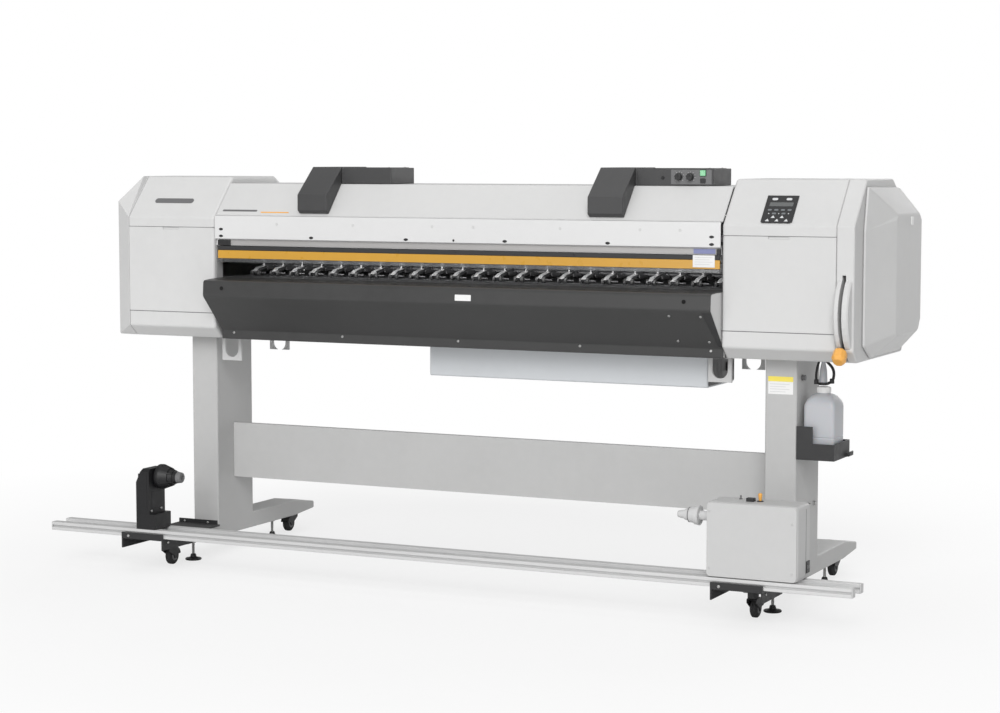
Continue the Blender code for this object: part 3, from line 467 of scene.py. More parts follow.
def cover_details():
    """Amber band, clear lower edge, hinge blocks and the plain label of the front cover."""
    x0, x1, y0, y1, bottom, top = span("amber_window")
    split = top - 0.0262
    add_box(x0, x1, y0, y1, split, top)
    piece("amber_band", AMBER, "front_cover", bevel=0.001, segments=3,
        replaces="amber_window")
    add_box(x0, x1, y0 + 0.0008, y1 - 0.0006, bottom, split - 0.0003)
    piece("cover_clear_edge", CLEAR, "front_cover", bevel=0.0008)
    for i in range(9):
        add_screw((-0.8 + 0.2 * i, y0 - 0.0006, top + 0.0075), FRONT, 0.0026, 0.0012)
    piece("cover_screws", BLACK, "front_cover")
    # A darker grey strip covers the plate's lower lip: painted shade, for the shadow under the overhang.
    add_box(-0.862, 0.855, 0.0114, 0.0118, 1.0412, 1.058)
    piece("plate_lip_shade_strip", LIP_SHADE, bevel=0.0002, segments=1)
    for a, b in ((-0.865, -0.819), (0.856, 0.869)):
        add_box(a, b, 0.0045, 0.0118, 1.0405, 1.0575)
    piece("cover_hinge_blocks", BLACK, bevel=0.0012)
    add_box(0.7824, 0.851, 0.0052, 0.0058, 1.0027, 1.0383)
    piece("cover_label", LABEL, "front_cover", bevel=0.0001, segments=1)
    for i in range(4):
        z = 1.032 - 0.0068 * i
        add_box(0.7885, 0.844 - 0.009 * (i % 2), 0.005, 0.0053, z - 0.0008, z + 0.0008)
    piece("cover_label_bars", LABEL_GREY, "front_cover")
    add_box(0.7824, 0.851, 0.0108, 0.0116, 1.0425, 1.057)
    piece("lip_label_header", LABEL_BLUE, bevel=0.0001, segments=1)


# ----- front guide
GUIDE_PATH = [(0.056, 0.734), (0.026, 0.734), (0.024, 0.763), (-0.088, 0.88), (-0.0845, 0.93),
    (-0.04, 0.933), (0.044, 0.935)]
GUIDE_RADII = (0.004, 0.01, 0.014, 0.012, 0.02)
GUIDE_RUN = 0.112
GUIDE_RISE = 0.117


def front_guide():
    """Bent charcoal sheet under the opening, its end plates, screws, two near-black discs painted as the
    shade of open holes, and sticker.
    """
    path = fillet(GUIDE_PATH, GUIDE_RADII, 6)
    x0, x1 = span("front_guide")[:2]
    add_prism(sheet(path, 0.0022), "X", x0, x1 - 0.0006)
    piece("guide_sheet", GUIDE, angle=22.0, replaces="front_guide")
    inner = [p for p in sheet(path, 0.0026)[len(path):] if p[0] < 0.03]
    inner = [(0.038, inner[0][1])] + inner + [(0.038, inner[-1][1])]
    add_prism(inner, "X", x1 - 0.0042, x1 - 0.0004)
    piece("guide_end_plate_right", HOOD)
    add_prism(inner, "X", x0 + 0.0004, x0 + 0.0042)
    piece("guide_end_plate_left", GUIDE)
    slope_out = Vector((0.0, -0.7224, -0.6915))
    for x in (-0.818, -0.413, 0.0, 0.413, 0.834):
        add_screw((x, 0.0246, 0.7555), FRONT, 0.0042, 0.0022)
    for x in (0.7385, 0.8368):
        for z in (0.8625, 0.7835):
            add_screw((x, 0.024 - (z - 0.763) * (GUIDE_RUN / GUIDE_RISE), z), slope_out, 0.0042, 0.0022)
    piece("guide_screws", SCREW)
    slope_up = Vector((0.0, -GUIDE_RUN, GUIDE_RISE)).normalized()
    flap = [(a, b / slope_up.z) for a, b in ((0.859, 0.006), (x1 - 0.001, 0.006), (x1 - 0.001, 0.112),
        (0.8425, 0.112))]
    add_slab(flap, (0.0, 0.024, 0.763), (RIGHT, slope_up, slope_out), -0.0004, 0.0005)
    piece("guide_end_flap", CHARCOAL, bevel=0.0002, segments=1)
    # Two near-black discs on the nose stand in for open holes: painted shade.
    for x in (-0.794, 0.79):
        add_knob([(-0.0003, 0.0062), (0.001, 0.0062), (0.0014, 0.0052), (0.0004, 0.0046)],
            (x, -0.0865, 0.906), (0, -1, 0.07), 24)
    piece("guide_hole_shade_discs", HOLE_SHADE)
    nose = (RIGHT, Vector((0.0, 0.07, 0.9975)), Vector((0.0, -0.9975, 0.07)))
    add_slab(rounded(0.0545, 0.0185, 0.0015), (0.072, -0.0868, 0.8985), nose, -0.0004, 0.0006)
    piece("guide_sticker", LABEL)
    # Black marks stand in for the vacuum slots: painted shade of the openings.
    shelf = (RIGHT, Vector((0.0, 1.0, 0.05)).normalized(), Vector((0.0, -0.05, 1.0)).normalized())
    for i in range(19):
        add_slab(rounded(0.03, 0.0022, 0.001), (-0.81 + 0.09 * i, -0.06, 0.9324), shelf, -0.0002, 0.0003)
    piece("guide_vacuum_slots", BLACK)


# ----- media path
ARM_COUNT = 23
ARM_PITCH = 0.074
ARM_REACH = 0.5 * (ARM_COUNT - 1) * ARM_PITCH
ARM_XS = [(i - 0.5 * (ARM_COUNT - 1)) * ARM_PITCH for i in range(ARM_COUNT)]
PIVOT_Y = 0.262
ROD_BACK = 0.05
ROD_TOP = 1.012
SHEET_RISE = 0.0154


def pressing_arms():
    """Pressing arms on their bar, with rods and springs, and the rollers under their tips."""
    pivot_z = span("pinch_arms")[5] - 0.006
    _, tip_y, tip_z = middle("pinch_wheels")
    cheek = [(PIVOT_Y + 0.008, pivot_z - 0.009), (PIVOT_Y + 0.008, pivot_z + 0.005),
        (PIVOT_Y - 0.012, pivot_z + 0.0078), (tip_y + 0.01, tip_z + 0.0132), (tip_y - 0.005, tip_z + 0.006),
        (tip_y - 0.0045, tip_z - 0.003), (tip_y + 0.0045, tip_z - 0.003), (tip_y + 0.014, tip_z + 0.004),
        (PIVOT_Y - 0.03, pivot_z - 0.004)]
    for x in ARM_XS:
        for side in (-1.0, 1.0):
            add_prism(cheek, "X", x + side * 0.0056, x + side * 0.0068)
        add_box(x + 0.015, x + 0.0172, PIVOT_Y - 0.06, PIVOT_Y + 0.006, pivot_z - 0.012, pivot_z - 0.002)
    piece("arm_cheeks", CHEEK, "pinch_arms", bevel=0.0004, segments=1, replaces="pinch_arms")
    rod_y = tip_y + ROD_BACK
    rise = (pivot_z + 0.0096 - tip_z - SHEET_RISE) / (PIVOT_Y + 0.004 - tip_y - 0.009)
    rod_z = tip_z + SHEET_RISE + rise * (rod_y - tip_y - 0.009)
    back_z = rod_z + 0.005 * rise
    top = [(rod_y + 0.005, back_z), (rod_y + 0.005, back_z - 0.0017), (tip_y + 0.01, tip_z + 0.0136),
        (tip_y - 0.01, tip_z + 0.004), (tip_y - 0.0114, tip_z + 0.005), (tip_y + 0.009, tip_z + SHEET_RISE)]
    for x in ARM_XS:
        add_prism(top, "X", x - 0.0074, x + 0.0074)
    piece("pressing_arms", ARM_STEEL, "pinch_arms", bevel=0.0005)
    # The arms' rear part, from the spring rod to the pivot, is dark frame grey: painted shade, for the
    # shadow inside the opening.
    tail_z = rod_z + 0.0054 * rise
    tail = [(PIVOT_Y + 0.004, pivot_z + 0.0094), (PIVOT_Y + 0.004, pivot_z + 0.008),
        (rod_y + 0.0054, tail_z - 0.0017), (rod_y + 0.0054, tail_z - 0.0002)]
    for x in ARM_XS:
        add_prism(tail, "X", x - 0.007, x + 0.007)
    piece("pressing_arm_tails_painted_shade", FRAME, "pinch_arms", bevel=0.0004, segments=1)
    half = ARM_REACH + 0.03
    add_rod("X", -half, half, 0.005, 0.0045, 0.001, (0.0, PIVOT_Y, pivot_z - 0.002), 20)
    piece("arm_pivot_bar", FRAME, "pinch_arms")
    for x in ARM_XS:
        for a, b in ((x - 0.016, x - 0.0074), (x + 0.0074, x + 0.016)):
            add_lathe([(a, 0.003), (a + 0.0002, 0.008), (a + 0.001, 0.009), (b - 0.001, 0.009),
                (b - 0.0002, 0.008), (b, 0.003)], "X", (0.0, tip_y, tip_z), 20)
    piece("pressing_rollers", ROLLER, "pinch_wheels", replaces="pinch_wheels")
    for x in ARM_XS:
        add_rod("X", x - 0.0186, x + 0.038, 0.002, 0.0014, 0.0004, (0.0, tip_y, tip_z), 12)
    piece("pressing_axles", CHEEK, "pinch_wheels")
    for x in ARM_XS:
        add_lathe([(rod_z - 0.0004, 0.0044), (rod_z + 0.0022, 0.0044), (rod_z + 0.0026, 0.0026),
            (ROD_TOP - 0.001, 0.0026), (ROD_TOP, 0.0018)], "Z", (x, rod_y, 0.0), 12)
    piece("arm_spring_rods", ARM_STEEL, "pinch_arms")
    for x in ARM_XS:
        coil = []
        for i in range(49):
            angle = 2.0 * math.pi * i / 8.0
            coil.append((x + 0.0046 * math.cos(angle), rod_y + 0.0046 * math.sin(angle),
                ROD_TOP - 0.024 + 0.022 * i / 48.0))
        add_tube(coil, 0.0006, 5, 2)
    piece("arm_springs", STEEL, "pinch_arms")


def media_path():
    """Platen slots, grit bands on the drive roller, the carriage's belt and the rail's screws."""
    top = span("platen")[5]
    # The platen slots are black marks: painted shade of the openings.
    for i in range(33):
        for y in (0.062, 0.104, 0.196, 0.238):
            add_slab(rounded(0.026, 0.003, 0.0014), (-0.832 + 0.052 * i, y, top), TOP_FACE, -0.0002, 0.0003)
    piece("platen_slots", BLACK)
    z0, z1 = span("grit_roller")[4:]
    radius = 0.5 * (z1 - z0)
    for x in ARM_XS:
        add_rod("X", x - 0.015, x + 0.015, radius + 0.0002, radius - 0.0002, 0.0002,
            (0.0, *middle("grit_roller")[1:]), 32)
    piece("roller_grit_bands", PLATEN, "grit_roller")
    add_box(-1.09, 1.09, 0.2963, 0.2985, 1.056, 1.066)
    for i in range(272):
        x = -1.0885 + 0.008 * i
        add_box(x, x + 0.004, 0.2983, 0.2992, 1.0562, 1.0658)
    piece("drive_belt", RUBBER)
    for i in range(23):
        add_screw((-0.836 + 0.076 * i, span("carriage_rail")[2], 0.987), FRONT, 0.004, 0.0024)
    piece("rail_screws", BLACK)


def carriage_details():
    """Cover plate and head plates of the print carriage, and the collars of the cutter's holder."""
    x0, x1, y = span("carriage")[:3]
    for i in range(6):
        left = x0 + 0.025 * i
        add_box(left + 0.014, left + 0.031, y - 0.0008, y + 0.0004, 0.95, 0.982)
    piece("carriage_head_plates", PANEL_GREY, "carriage", bevel=0.0008)
    add_box(x0 + 0.01, x1 - 0.01, y - 0.0006, y + 0.0004, 0.998, 1.082)
    piece("carriage_cover_plate", DUCT, "carriage", bevel=0.0006)
    for z0, z1 in ((0.99, 1.0085), (1.04, 1.0505)):
        add_rod("Z", z0, z1, 0.0142, 0.0131, 0.0005, (*middle("cutter_head")[:2], 0.0), 24)
    piece("cutter_collars", BLACK, "cutter_head")


# ----- end housings
SLOPE_UP = Vector((0.0, 0.118, 0.132)).normalized()
SLOPE_FACE = (RIGHT, SLOPE_UP, Vector((0.0, -0.132, 0.118)).normalized())
SLOPE_FOOT = Vector((0.0, 0.0, 1.129))
HOOD_UP = Vector((0.0, 0.09, 0.101)).normalized()
HOOD_FACE = (RIGHT, HOOD_UP, Vector((0.0, -0.101, 0.09)).normalized())
HOOD_FOOT = Vector((0.0, 0.009, 1.1385))
KEYPAD_LIFT = 0.0033
OVERLAY_LIFT = KEYPAD_LIFT + 0.0006


def slope_spot(x, y):
    """Point on the housings' slope above a plan position."""
    return SLOPE_FOOT + RIGHT * x + SLOPE_UP * (y / SLOPE_UP.y)


def keypad():
    """Display, keys and lamps on the right slope."""
    def key(outline, x, y, height):
        """One raised shape on the overlay."""
        add_slab(outline, slope_spot(x, y), SLOPE_FACE, OVERLAY_LIFT - 0.0002, OVERLAY_LIFT + height)

    add_slab(rounded(0.09, 0.103, 0.004), slope_spot(1.038, 0.0387), SLOPE_FACE, KEYPAD_LIFT - 0.0004,
        OVERLAY_LIFT)
    piece("keypad_overlay", BLACK)
    key(rounded(0.072, 0.015, 0.0018), 1.04, 0.0508, 0.0006)
    piece("keypad_display", DISPLAY)
    for x in (1.0165, 1.0595):
        key(rounded(0.017, 0.0085, 0.0035), x, 0.064, 0.0012)
    for x, y in ((1.0247, 0.019), (1.0519, 0.019), (1.01, 0.0105), (1.039, 0.0105), (1.0674, 0.0105)):
        key([(-0.0062, -0.004), (0.0062, -0.004), (0.0, 0.0056)], x, y, 0.001)
    piece("keypad_pale_keys", KEY_LIGHT, bevel=0.0004)
    for x, y in ((1.009, 0.0366), (1.029, 0.0366), (1.049, 0.0366), (1.069, 0.0366), (1.025, 0.0275),
            (1.054, 0.0275)):
        key(rounded(0.0125, 0.0065, 0.0028), x, y, 0.001)
    piece("keypad_dark_keys", KEY_DARK, bevel=0.0004)
    for x in (1.009, 1.0393, 1.069):
        add_knob([(-0.0002, 0.0018), (0.0006, 0.0018), (0.001, 0.001)],
            slope_spot(x, 0.0275) + SLOPE_FACE[2] * OVERLAY_LIFT, SLOPE_FACE[2], 14)
    piece("keypad_lamps", KEY_LIGHT)


def door_seams():
    """Dark gasket lines above and below the two end doors."""
    for side in ("left", "right"):
        x0, x1, y, _, z0, z1 = span(side + "_door")
        for z, half in ((z0, 0.0011), (z1, 0.0008)):
            add_box(x0, x1, y - 0.0002, y + 0.003, z - half, z + half)
        piece(side + "_door_gaskets", FRAME, bevel=0.0002, segments=1)


def badges():
    """Plain bars where the machine carries its lettering."""
    add_slab(rounded(0.15, 0.02, 0.0095, 8), slope_spot(-1.058, 0.047), SLOPE_FACE, -0.0004, 0.0012)
    piece("blank_badge", PANEL_GREY, bevel=0.0005)
    for name, size, x, up, material in (("hood_plain_bar", (0.13, 0.0075, 0.003), -0.789, 0.019,
            PANEL_GREY), ("hood_orange_bar", (0.105, 0.0045, 0.002), -0.656, 0.013, ORANGE)):
        add_slab(rounded(*size), HOOD_FOOT + RIGHT * x + HOOD_UP * up, HOOD_FACE, -0.0003, 0.0004)
        piece(name, material)


LOUVRE_SPANS = ((0.905, 1.19), (-1.18, -0.905))
LOUVRE_STEP = 0.014
REAR_Y = 0.545
INLET_X = 0.96
INLET_Z = 1.06


def housing_details():
    """Cap latch, louvres, screws, power inlet, slot hood and door hinge rods of the body."""
    add_slab(rounded(0.023, 0.026, 0.005), (1.333, 0.3885, 1.136), SIDE_FACE, -0.001, 0.003)
    piece("cap_latch", LABEL, bevel=0.0008)
    # Black slabs behind the blades stand in for the louvre openings: painted shade of the housing's inside.
    for low, high in LOUVRE_SPANS:
        for i in range(12):
            add_slab(rounded(high - low - 0.06, 0.005, 0.0024), (0.5 * (low + high), REAR_Y,
                0.845 + LOUVRE_STEP * i), REAR_FACE, -0.0004, 0.0003)
    piece("rear_louvre_openings", BLACK)
    for low, high in LOUVRE_SPANS:
        for i in range(12):
            z = 0.8492 + LOUVRE_STEP * i
            blade = [(0.5448, z - 0.001), (0.5485, z + 0.001), (0.5485, z + 0.003), (0.5448, z + 0.006)]
            add_prism(blade, "X", low + 0.03, high - 0.03)
    piece("rear_louvre_blades", SHELL, bevel=0.0004)
    spots = [(x, REAR_Y, z) for x in (-1.19, -0.895, 0.895, 1.2) for z in (0.825, 1.04, 1.14)]
    spots += [(-0.82 + 0.205 * i, 0.544, z) for i in range(9) for z in (0.785, 1.12)]
    for spot in spots:
        add_screw(spot, BACK, 0.0042, 0.002)
    piece("rear_screws", SCREW)
    add_slab(rounded(0.056, 0.064, 0.004), (INLET_X, 0.5455, INLET_Z), REAR_FACE, -0.001, 0.0022)
    piece("power_inlet_bezel", BLACK, bevel=0.0008)
    for a, b in ((-0.01, 0.004), (0.01, 0.004), (0.0, -0.008)):
        x, z = INLET_X + a, INLET_Z + b
        add_box(x - 0.0012, x + 0.0012, 0.547, 0.5485, z - 0.004, z + 0.004)
    piece("power_inlet_pins", SCREW)
    lip = [(0.5445, 0.924), (0.566, 0.916), (0.568, 0.918), (0.57, 0.924), (0.5445, 0.93)]
    add_prism(lip, "X", -0.858, 0.858)
    piece("rear_slot_lip", GUIDE, bevel=0.001)
    path = fillet([(0.5452, 1.005), (0.6, 0.99), (0.611, 0.96), (0.611, 0.918), (0.606, 0.914)],
        (0.012, 0.012, 0.002), 5)
    add_prism(sheet(path, 0.0018), "X", -0.856, 0.856)
    piece("rear_slot_hood", GUIDE, angle=22.0)
    side = [(0.5452, 1.003), (0.598, 0.9885), (0.609, 0.96), (0.609, 0.92), (0.5452, 0.93)]
    for a, b in ((-0.8585, -0.8562), (0.8562, 0.8585)):
        add_prism(side, "X", a, b)
    piece("rear_slot_hood_ends", GUIDE)
    for x0, x1 in ((-1.196, -0.89), (0.888, 1.208)):
        add_rod("X", x0, x1, 0.002, 0.0016, 0.001, (0.0, 0.0085, 0.815), 12)
    piece("door_hinge_rods", STEEL)
    add_lathe([(1.2752, 0.014), (1.2758, 0.016), (1.279, 0.016), (1.2798, 0.0145), (1.28, 0.006)], "X",
        (0.0, 0.098, 0.875), 28)
    piece("lever_pivot_cap", SHELL)


# ----- boxes
def duct_details():
    """Lids, vents and screws of the two units on the hood, and the control plate of the right one."""
    for side in ("left", "right"):
        x0, x1, _, _, _, top = span(side + "_duct")
        lid_z = top - 0.003
        add_slab(rounded(x1 - x0 - 0.02, 0.13, 0.004), (0.5 * (x0 + x1), 0.182, lid_z), TOP_FACE, 0.0,
            0.0012)
        piece(side + "_duct_lid", DUCT, bevel=0.0005)
        for x in (x0 + 0.02, x1 - 0.02):
            for y in (0.128, 0.236):
                add_screw((x, y, lid_z + 0.0012), UP, 0.003, 0.0014)
        piece(side + "_duct_screws", SCREW)
        # The vents are black blocks: painted shade of the openings.
        for i in range(12):
            x = x0 + 0.05 + (x1 - x0 - 0.1) * i / 11.0
            add_slab(rounded(0.006, 0.03, 0.0028), (x, 0.265, 1.266), REAR_FACE, -0.0045, 0.0002)
        piece(side + "_duct_vents", BLACK)
    plate = [(0.674, 1.2445), (0.803, 1.2445), (0.803, 1.288), (0.7862, 1.288), (0.7862, 1.268),
        (0.7658, 1.268), (0.7658, 1.288), (0.674, 1.288)]
    add_prism(plate, "Y", 0.1032, 0.104)
    piece("control_plate", PANEL_GREY)
    tick = [(-0.0004, -0.0012), (0.0004, -0.0012), (0.0004, 0.0012), (-0.0004, 0.0012)]
    for x in (0.7, 0.7365):
        for i in range(9):
            angle = math.radians(-135.0 + 33.75 * i)
            outwards = Vector((math.sin(angle), 0.0, math.cos(angle)))
            along = Vector((math.cos(angle), 0.0, -math.sin(angle)))
            add_slab(tick, Vector((x, 0.1032, 1.267)) + outwards * 0.0145, (along, outwards, FRONT),
                -0.0001, 0.0002)
    piece("dial_ticks", LABEL)
    add_slab(rounded(0.0165, 0.014, 0.0018), (0.7757, 0.1032, 1.255), FRONT_FACE, -0.0004, 0.003)
    piece("duct_rocker", BLACK, bevel=0.001)
    add_knob([(-0.0002, 0.005), (0.003, 0.0048), (0.0036, 0.0036), (0.002, 0.0024)], (0.648, 0.1035, 1.264),
        FRONT, 20)
    piece("duct_thumb_screw", BLACK)


def power_box_details():
    """Dark connector end, screws and slots of the electronics box."""
    x0, x1, y0, y1, z0, z1 = span("power_box")
    _, y, z = middle("power_box")
    add_slab(rounded(y1 - y0 - 0.008, z1 - z0 - 0.012, 0.003), (x1, y, z), SIDE_FACE, -0.0005, 0.0022)
    piece("power_box_end_plate", GUIDE, bevel=0.0006)
    for i in range(8):
        add_slab(rounded(0.005, 0.056, 0.0024), (x1 + 0.0022, y0 + 0.03 + 0.012 * i, z), SIDE_FACE, -0.0002,
            0.0003)
    add_slab(rounded(0.048, 0.028, 0.003), (x1 + 0.0022, y1 - 0.05, z), SIDE_FACE, -0.0002, 0.004)
    piece("power_box_connectors", BLACK, bevel=0.0005)
    for i in range(5):
        add_screw((x0 + 0.04 + (x1 - x0 - 0.08) * i / 4.0, y, z0), DOWN, 0.0035, 0.0016)
    for x in (x0 + 0.012, x1 - 0.012):
        for height in (z0 + 0.014, z1 - 0.03):
            add_screw((x, y1, height), BACK, 0.0035, 0.0016)
    piece("power_box_screws", SCREW)
    add_box(x0 + 0.004, x1 - 0.004, y1 - 0.0004, y1 + 0.001, z1 - 0.052, z1 - 0.05)
    # The rear slots are black marks: painted shade of the openings.
    for i in range(14):
        add_slab(rounded(0.04, 0.0036, 0.0016), (x0 + 0.08 + 0.058 * i, y1, z0 + 0.028), REAR_FACE, -0.0002,
            0.0004)
    piece("power_box_slots", BLACK)


# ----- stand
def stand_details():
    """Leg label, stay bolts and foot caps."""
    add_box(0.987, 1.064, 0.0994, 0.1002, 0.629, 0.6665)
    piece("leg_label", LABEL)
    add_box(0.987, 1.064, 0.0994, 0.1002, 0.6667, 0.6815)
    piece("leg_label_band", LABEL_YELLOW)
    for i in range(4):
        z = 0.659 - 0.0075 * i
        add_box(0.9925, 1.053 - 0.012 * (i % 2), 0.0991, 0.0996, z - 0.0008, z + 0.0008)
    piece("leg_label_bars", LABEL_GREY)
    # The bottle hangs where the right leg's upper bolts would be.
    bolt = [(-0.0004, 0.0085), (0.0016, 0.0085), (0.0018, 0.0068), (0.0062, 0.0066), (0.0068, 0.0056)]
    for x, out, heights in ((LEG_XS[0] - 0.0485, LEFT, (0.285, 0.405)),
            (LEG_XS[1] + 0.0485, RIGHT, (0.285,))):
        for y in (0.225, 0.275):
            for z in heights:
                add_knob(bolt, (x, y, z), out, 6)
    piece("stay_bolts", SCREW, bevel=0.0004)
    for x in LEG_XS:
        add_slab(rounded(0.093, 0.02, 0.002), (x, 0.728, 0.086), REAR_FACE, -0.001, 0.0012)
    piece("foot_end_caps", CHARCOAL, bevel=0.0006)


WHEEL_RADIUS = 0.0285
WHEEL_HALF = 0.011
# Half of the tyre's section: distance from the middle, radius.
TYRE = ((WHEEL_HALF, 0.01), (WHEEL_HALF, 0.0215), (WHEEL_HALF - 0.0015, 0.0235),
    (WHEEL_HALF - 0.002, WHEEL_RADIUS - 0.003), (WHEEL_HALF - 0.0045, WHEEL_RADIUS - 0.0004),
    (0.0015, WHEEL_RADIUS), (0.001, WHEEL_RADIUS - 0.0012))


def caster_details():
    """Twin-cheek forks and treaded wheels in place of the plain ones."""
    for end, swivel_y, wheel_y in (("front", -0.128, -0.106), ("rear", 0.654, 0.632)):
        reach = 1.0 if wheel_y > swivel_y else -1.0

        def around(y, points):
            """Points given as distances towards the wheel from a plan position, and heights."""
            return [(y + reach * a, z) for a, z in points]

        cheek = around(swivel_y, ((-0.0155, 0.048), (-0.0155, 0.0575), (-0.012, 0.06), (0.016, 0.06)))
        cheek += around(wheel_y, ((0.012, 0.056), (0.023, 0.048), (0.0285, 0.036), (0.024, 0.033),
            (0.011, 0.033), (0.006, 0.0205), (-0.006, 0.0205), (-0.009, 0.03)))
        crown = around(swivel_y, ((-0.0155, 0.056), (-0.012, 0.06), (0.016, 0.06)))
        crown += around(wheel_y, ((0.012, 0.0592), (0.024, 0.05), (0.0285, 0.04), (0.027, 0.0395),
            (0.022, 0.049), (0.011, 0.0574)))
        crown += around(swivel_y, ((0.01, 0.058),))
        for side, x in zip(("left", "right"), LEG_XS):
            name = "caster_" + end + "_" + side
            top = span(name + "_fork")[5]
            for s in (-1.0, 1.0):
                add_prism(cheek, "X", x + s * 0.0125, x + s * 0.0155)
            add_prism(crown, "X", x - 0.0124, x + 0.0124)
            add_lathe([(0.06, 0.015), (0.061, 0.0165), (top - 0.003, 0.0165), (top - 0.0026, 0.019),
                (top, 0.019)], "Z", (x, swivel_y, 0.0), 32)
            piece(name + "_cheeks", BLACK, name + "_fork", bevel=0.0006,
                replaces=name + "_fork")
            tread = [(x - a, b) for a, b in TYRE] + [(x + a, b) for a, b in reversed(TYRE)]
            add_lathe(tread, "X", (0.0, wheel_y, WHEEL_RADIUS), 48)
            piece(name + "_tyre", RUBBER, name + "_wheel", angle=40.0, replaces=name + "_wheel")
            for s in (-1.0, 1.0):
                add_lathe([(x + s * 0.0106, 0.016), (x + s * 0.0116, 0.0155), (x + s * 0.012, 0.006),
                    (x + s * 0.0122, 0.004)], "X", (0.0, wheel_y, WHEEL_RADIUS), 32)
            piece(name + "_hub", PANEL_GREY, name + "_wheel")


def foot_details():
    """Threaded screw feet with a nut and a round pad."""
    pad = [(0.0, 0.0245), (0.0012, 0.0265), (0.0045, 0.027), (0.0062, 0.0255), (0.0074, 0.016),
        (0.011, 0.0105), (0.019, 0.0085), (0.02, 0.007)]
    thread = [(0.0198, 0.004)]
    for i in range(28):
        z = 0.0205 + 0.0015 * i
        thread += [(z, 0.004), (z + 0.00075, 0.0048)]
    thread.append((0.0634, 0.004))
    nut = [(0.056, 0.0085), (0.057, 0.0095), (0.0625, 0.0095), (0.0634, 0.0085)]
    for end in ("front", "rear"):
        for side in ("left", "right"):
            name = "leveling_foot_" + end + "_" + side
            spot = (*middle(name)[:2], 0.0)
            add_lathe(pad, "Z", spot, 40)
            piece(name + "_pad", BLACK, name, angle=40.0, replaces=name)
            add_lathe(thread, "Z", spot, 20)
            piece(name + "_thread", SCREW, name, angle=60.0)
            add_lathe(nut, "Z", spot, 6)
            piece(name + "_nut", SCREW, name, bevel=0.0003)


# ----- take-up unit
CONE_CENTRE = (0.0, -0.21, 0.304)
# Slot of the extrusion: half width of the mouth, thickness of the lips, half width and depth inside.
MOUTH = 0.0036
LIP_DEPTH = 0.002
UNDERCUT = 0.0066
SLOT_DEPTH = 0.0066


def rail_outline(y, z, size):
    """Cross-section of a square aluminium extrusion with an undercut slot in each side."""
    half = 0.5 * size
    inside = -half + LIP_DEPTH
    side = [(-half + 0.0012, -half), (-MOUTH, -half), (-MOUTH, inside), (-UNDERCUT, inside),
        (-UNDERCUT, inside + 0.002), (-MOUTH + 0.001, -half + SLOT_DEPTH)]
    side += [(-a, b) for a, b in reversed(side)]
    points = []
    for quarter in range(4):
        for a, b in side:
            for _ in range(quarter):
                a, b = -b, a
            points.append((y + half + a, z + half + b))
    return points


def takeup_rails():
    """Two slotted extrusions with end caps."""
    for name in ("takeup_rail_front", "takeup_rail_rear"):
        x0, x1, y, _, z, top = span(name)
        size = top - z
        add_prism(rail_outline(y, z, size), "X", x0 + 0.0028, x1 - 0.0028)
        piece(name + "_profile", RAIL, angle=25.0, replaces=name)
        for a, b in ((x0, x0 + 0.0026), (x1 - 0.0026, x1)):
            add_prism(rounded(size, size, 0.0025, centre=(y + 0.5 * size, z + 0.5 * size)), "X", a, b)
        piece(name + "_caps", CONE_GREY, bevel=0.0006)


def bracket_details():
    """Screws and nuts of the two black brackets."""
    nut = [(0.1114, 0.0085), (0.113, 0.0085), (0.1132, 0.0062), (0.1175, 0.006), (0.118, 0.005)]
    for x in LEG_XS:
        add_screw((x - 0.052, -0.276, 0.115), FRONT, 0.0046, 0.0026)
        for dx in (-0.056, 0.034):
            add_screw((x + dx, 0.055, 0.116), FRONT, 0.004, 0.0022)
        for dx in (-0.05, 0.05):
            add_lathe(nut, "Z", (x + dx, -0.1, 0.0), 6)
        for y in (-0.245, -0.15):
            for out in (LEFT, RIGHT):
                add_screw((x + 0.0784 * out.x, y, 0.098), out, 0.004, 0.0024)
    piece("bracket_screws", SCREW)


def idler_details():
    """Front panel, rib and screws of the sliding holder, and its stepped cone with ribs."""
    add_box(-0.9975, -0.9655, -0.2722, -0.27, 0.2, 0.318)
    piece("holder_front_panel", HOLDER, "idler_holder", bevel=0.0012)
    add_box(-0.9585, -0.9562, -0.256, -0.196, 0.205, 0.26)
    piece("holder_side_rib", HOLDER, "idler_holder", bevel=0.001)
    for y, z in ((-0.258, 0.198), (-0.204, 0.201)):
        add_screw((-0.956, y, z), RIGHT, 0.0042, 0.0024)
    piece("holder_screws", SCREW, "idler_holder")
    add_lathe([(-0.9566, 0.024), (-0.9562, 0.036), (-0.953, 0.0395), (-0.942, 0.04), (-0.938, 0.0385),
        (-0.912, 0.03), (-0.9115, 0.0265), (-0.898, 0.0235), (-0.8975, 0.0205), (-0.886, 0.019)], "X",
        CONE_CENTRE, 48)
    piece("idler_cone_body", HOLDER, "idler_cone", angle=28.0, replaces="idler_cone")
    rib = [(-0.938, 0.0375), (-0.938, 0.0398), (-0.9, 0.0262), (-0.9, 0.0225)]
    for i in range(6):
        turn = Matrix.Rotation(math.pi * i / 3.0, 3, "X")
        add_loft([[turn @ Vector((along, side, radius)) + Vector(CONE_CENTRE) for along,
            radius in rib] for side in (-0.0014, 0.0014)])
    piece("idler_cone_ribs", HOLDER, "idler_cone", bevel=0.0004)
    add_lathe([(-0.8861, 0.015), (-0.8858, 0.0186), (-0.872, 0.0165), (-0.87, 0.014), (-0.87, 0.008),
        (-0.874, 0.007)], "X", CONE_CENTRE, 40)
    piece("idler_cone_tip", PANEL_GREY, "idler_cone")


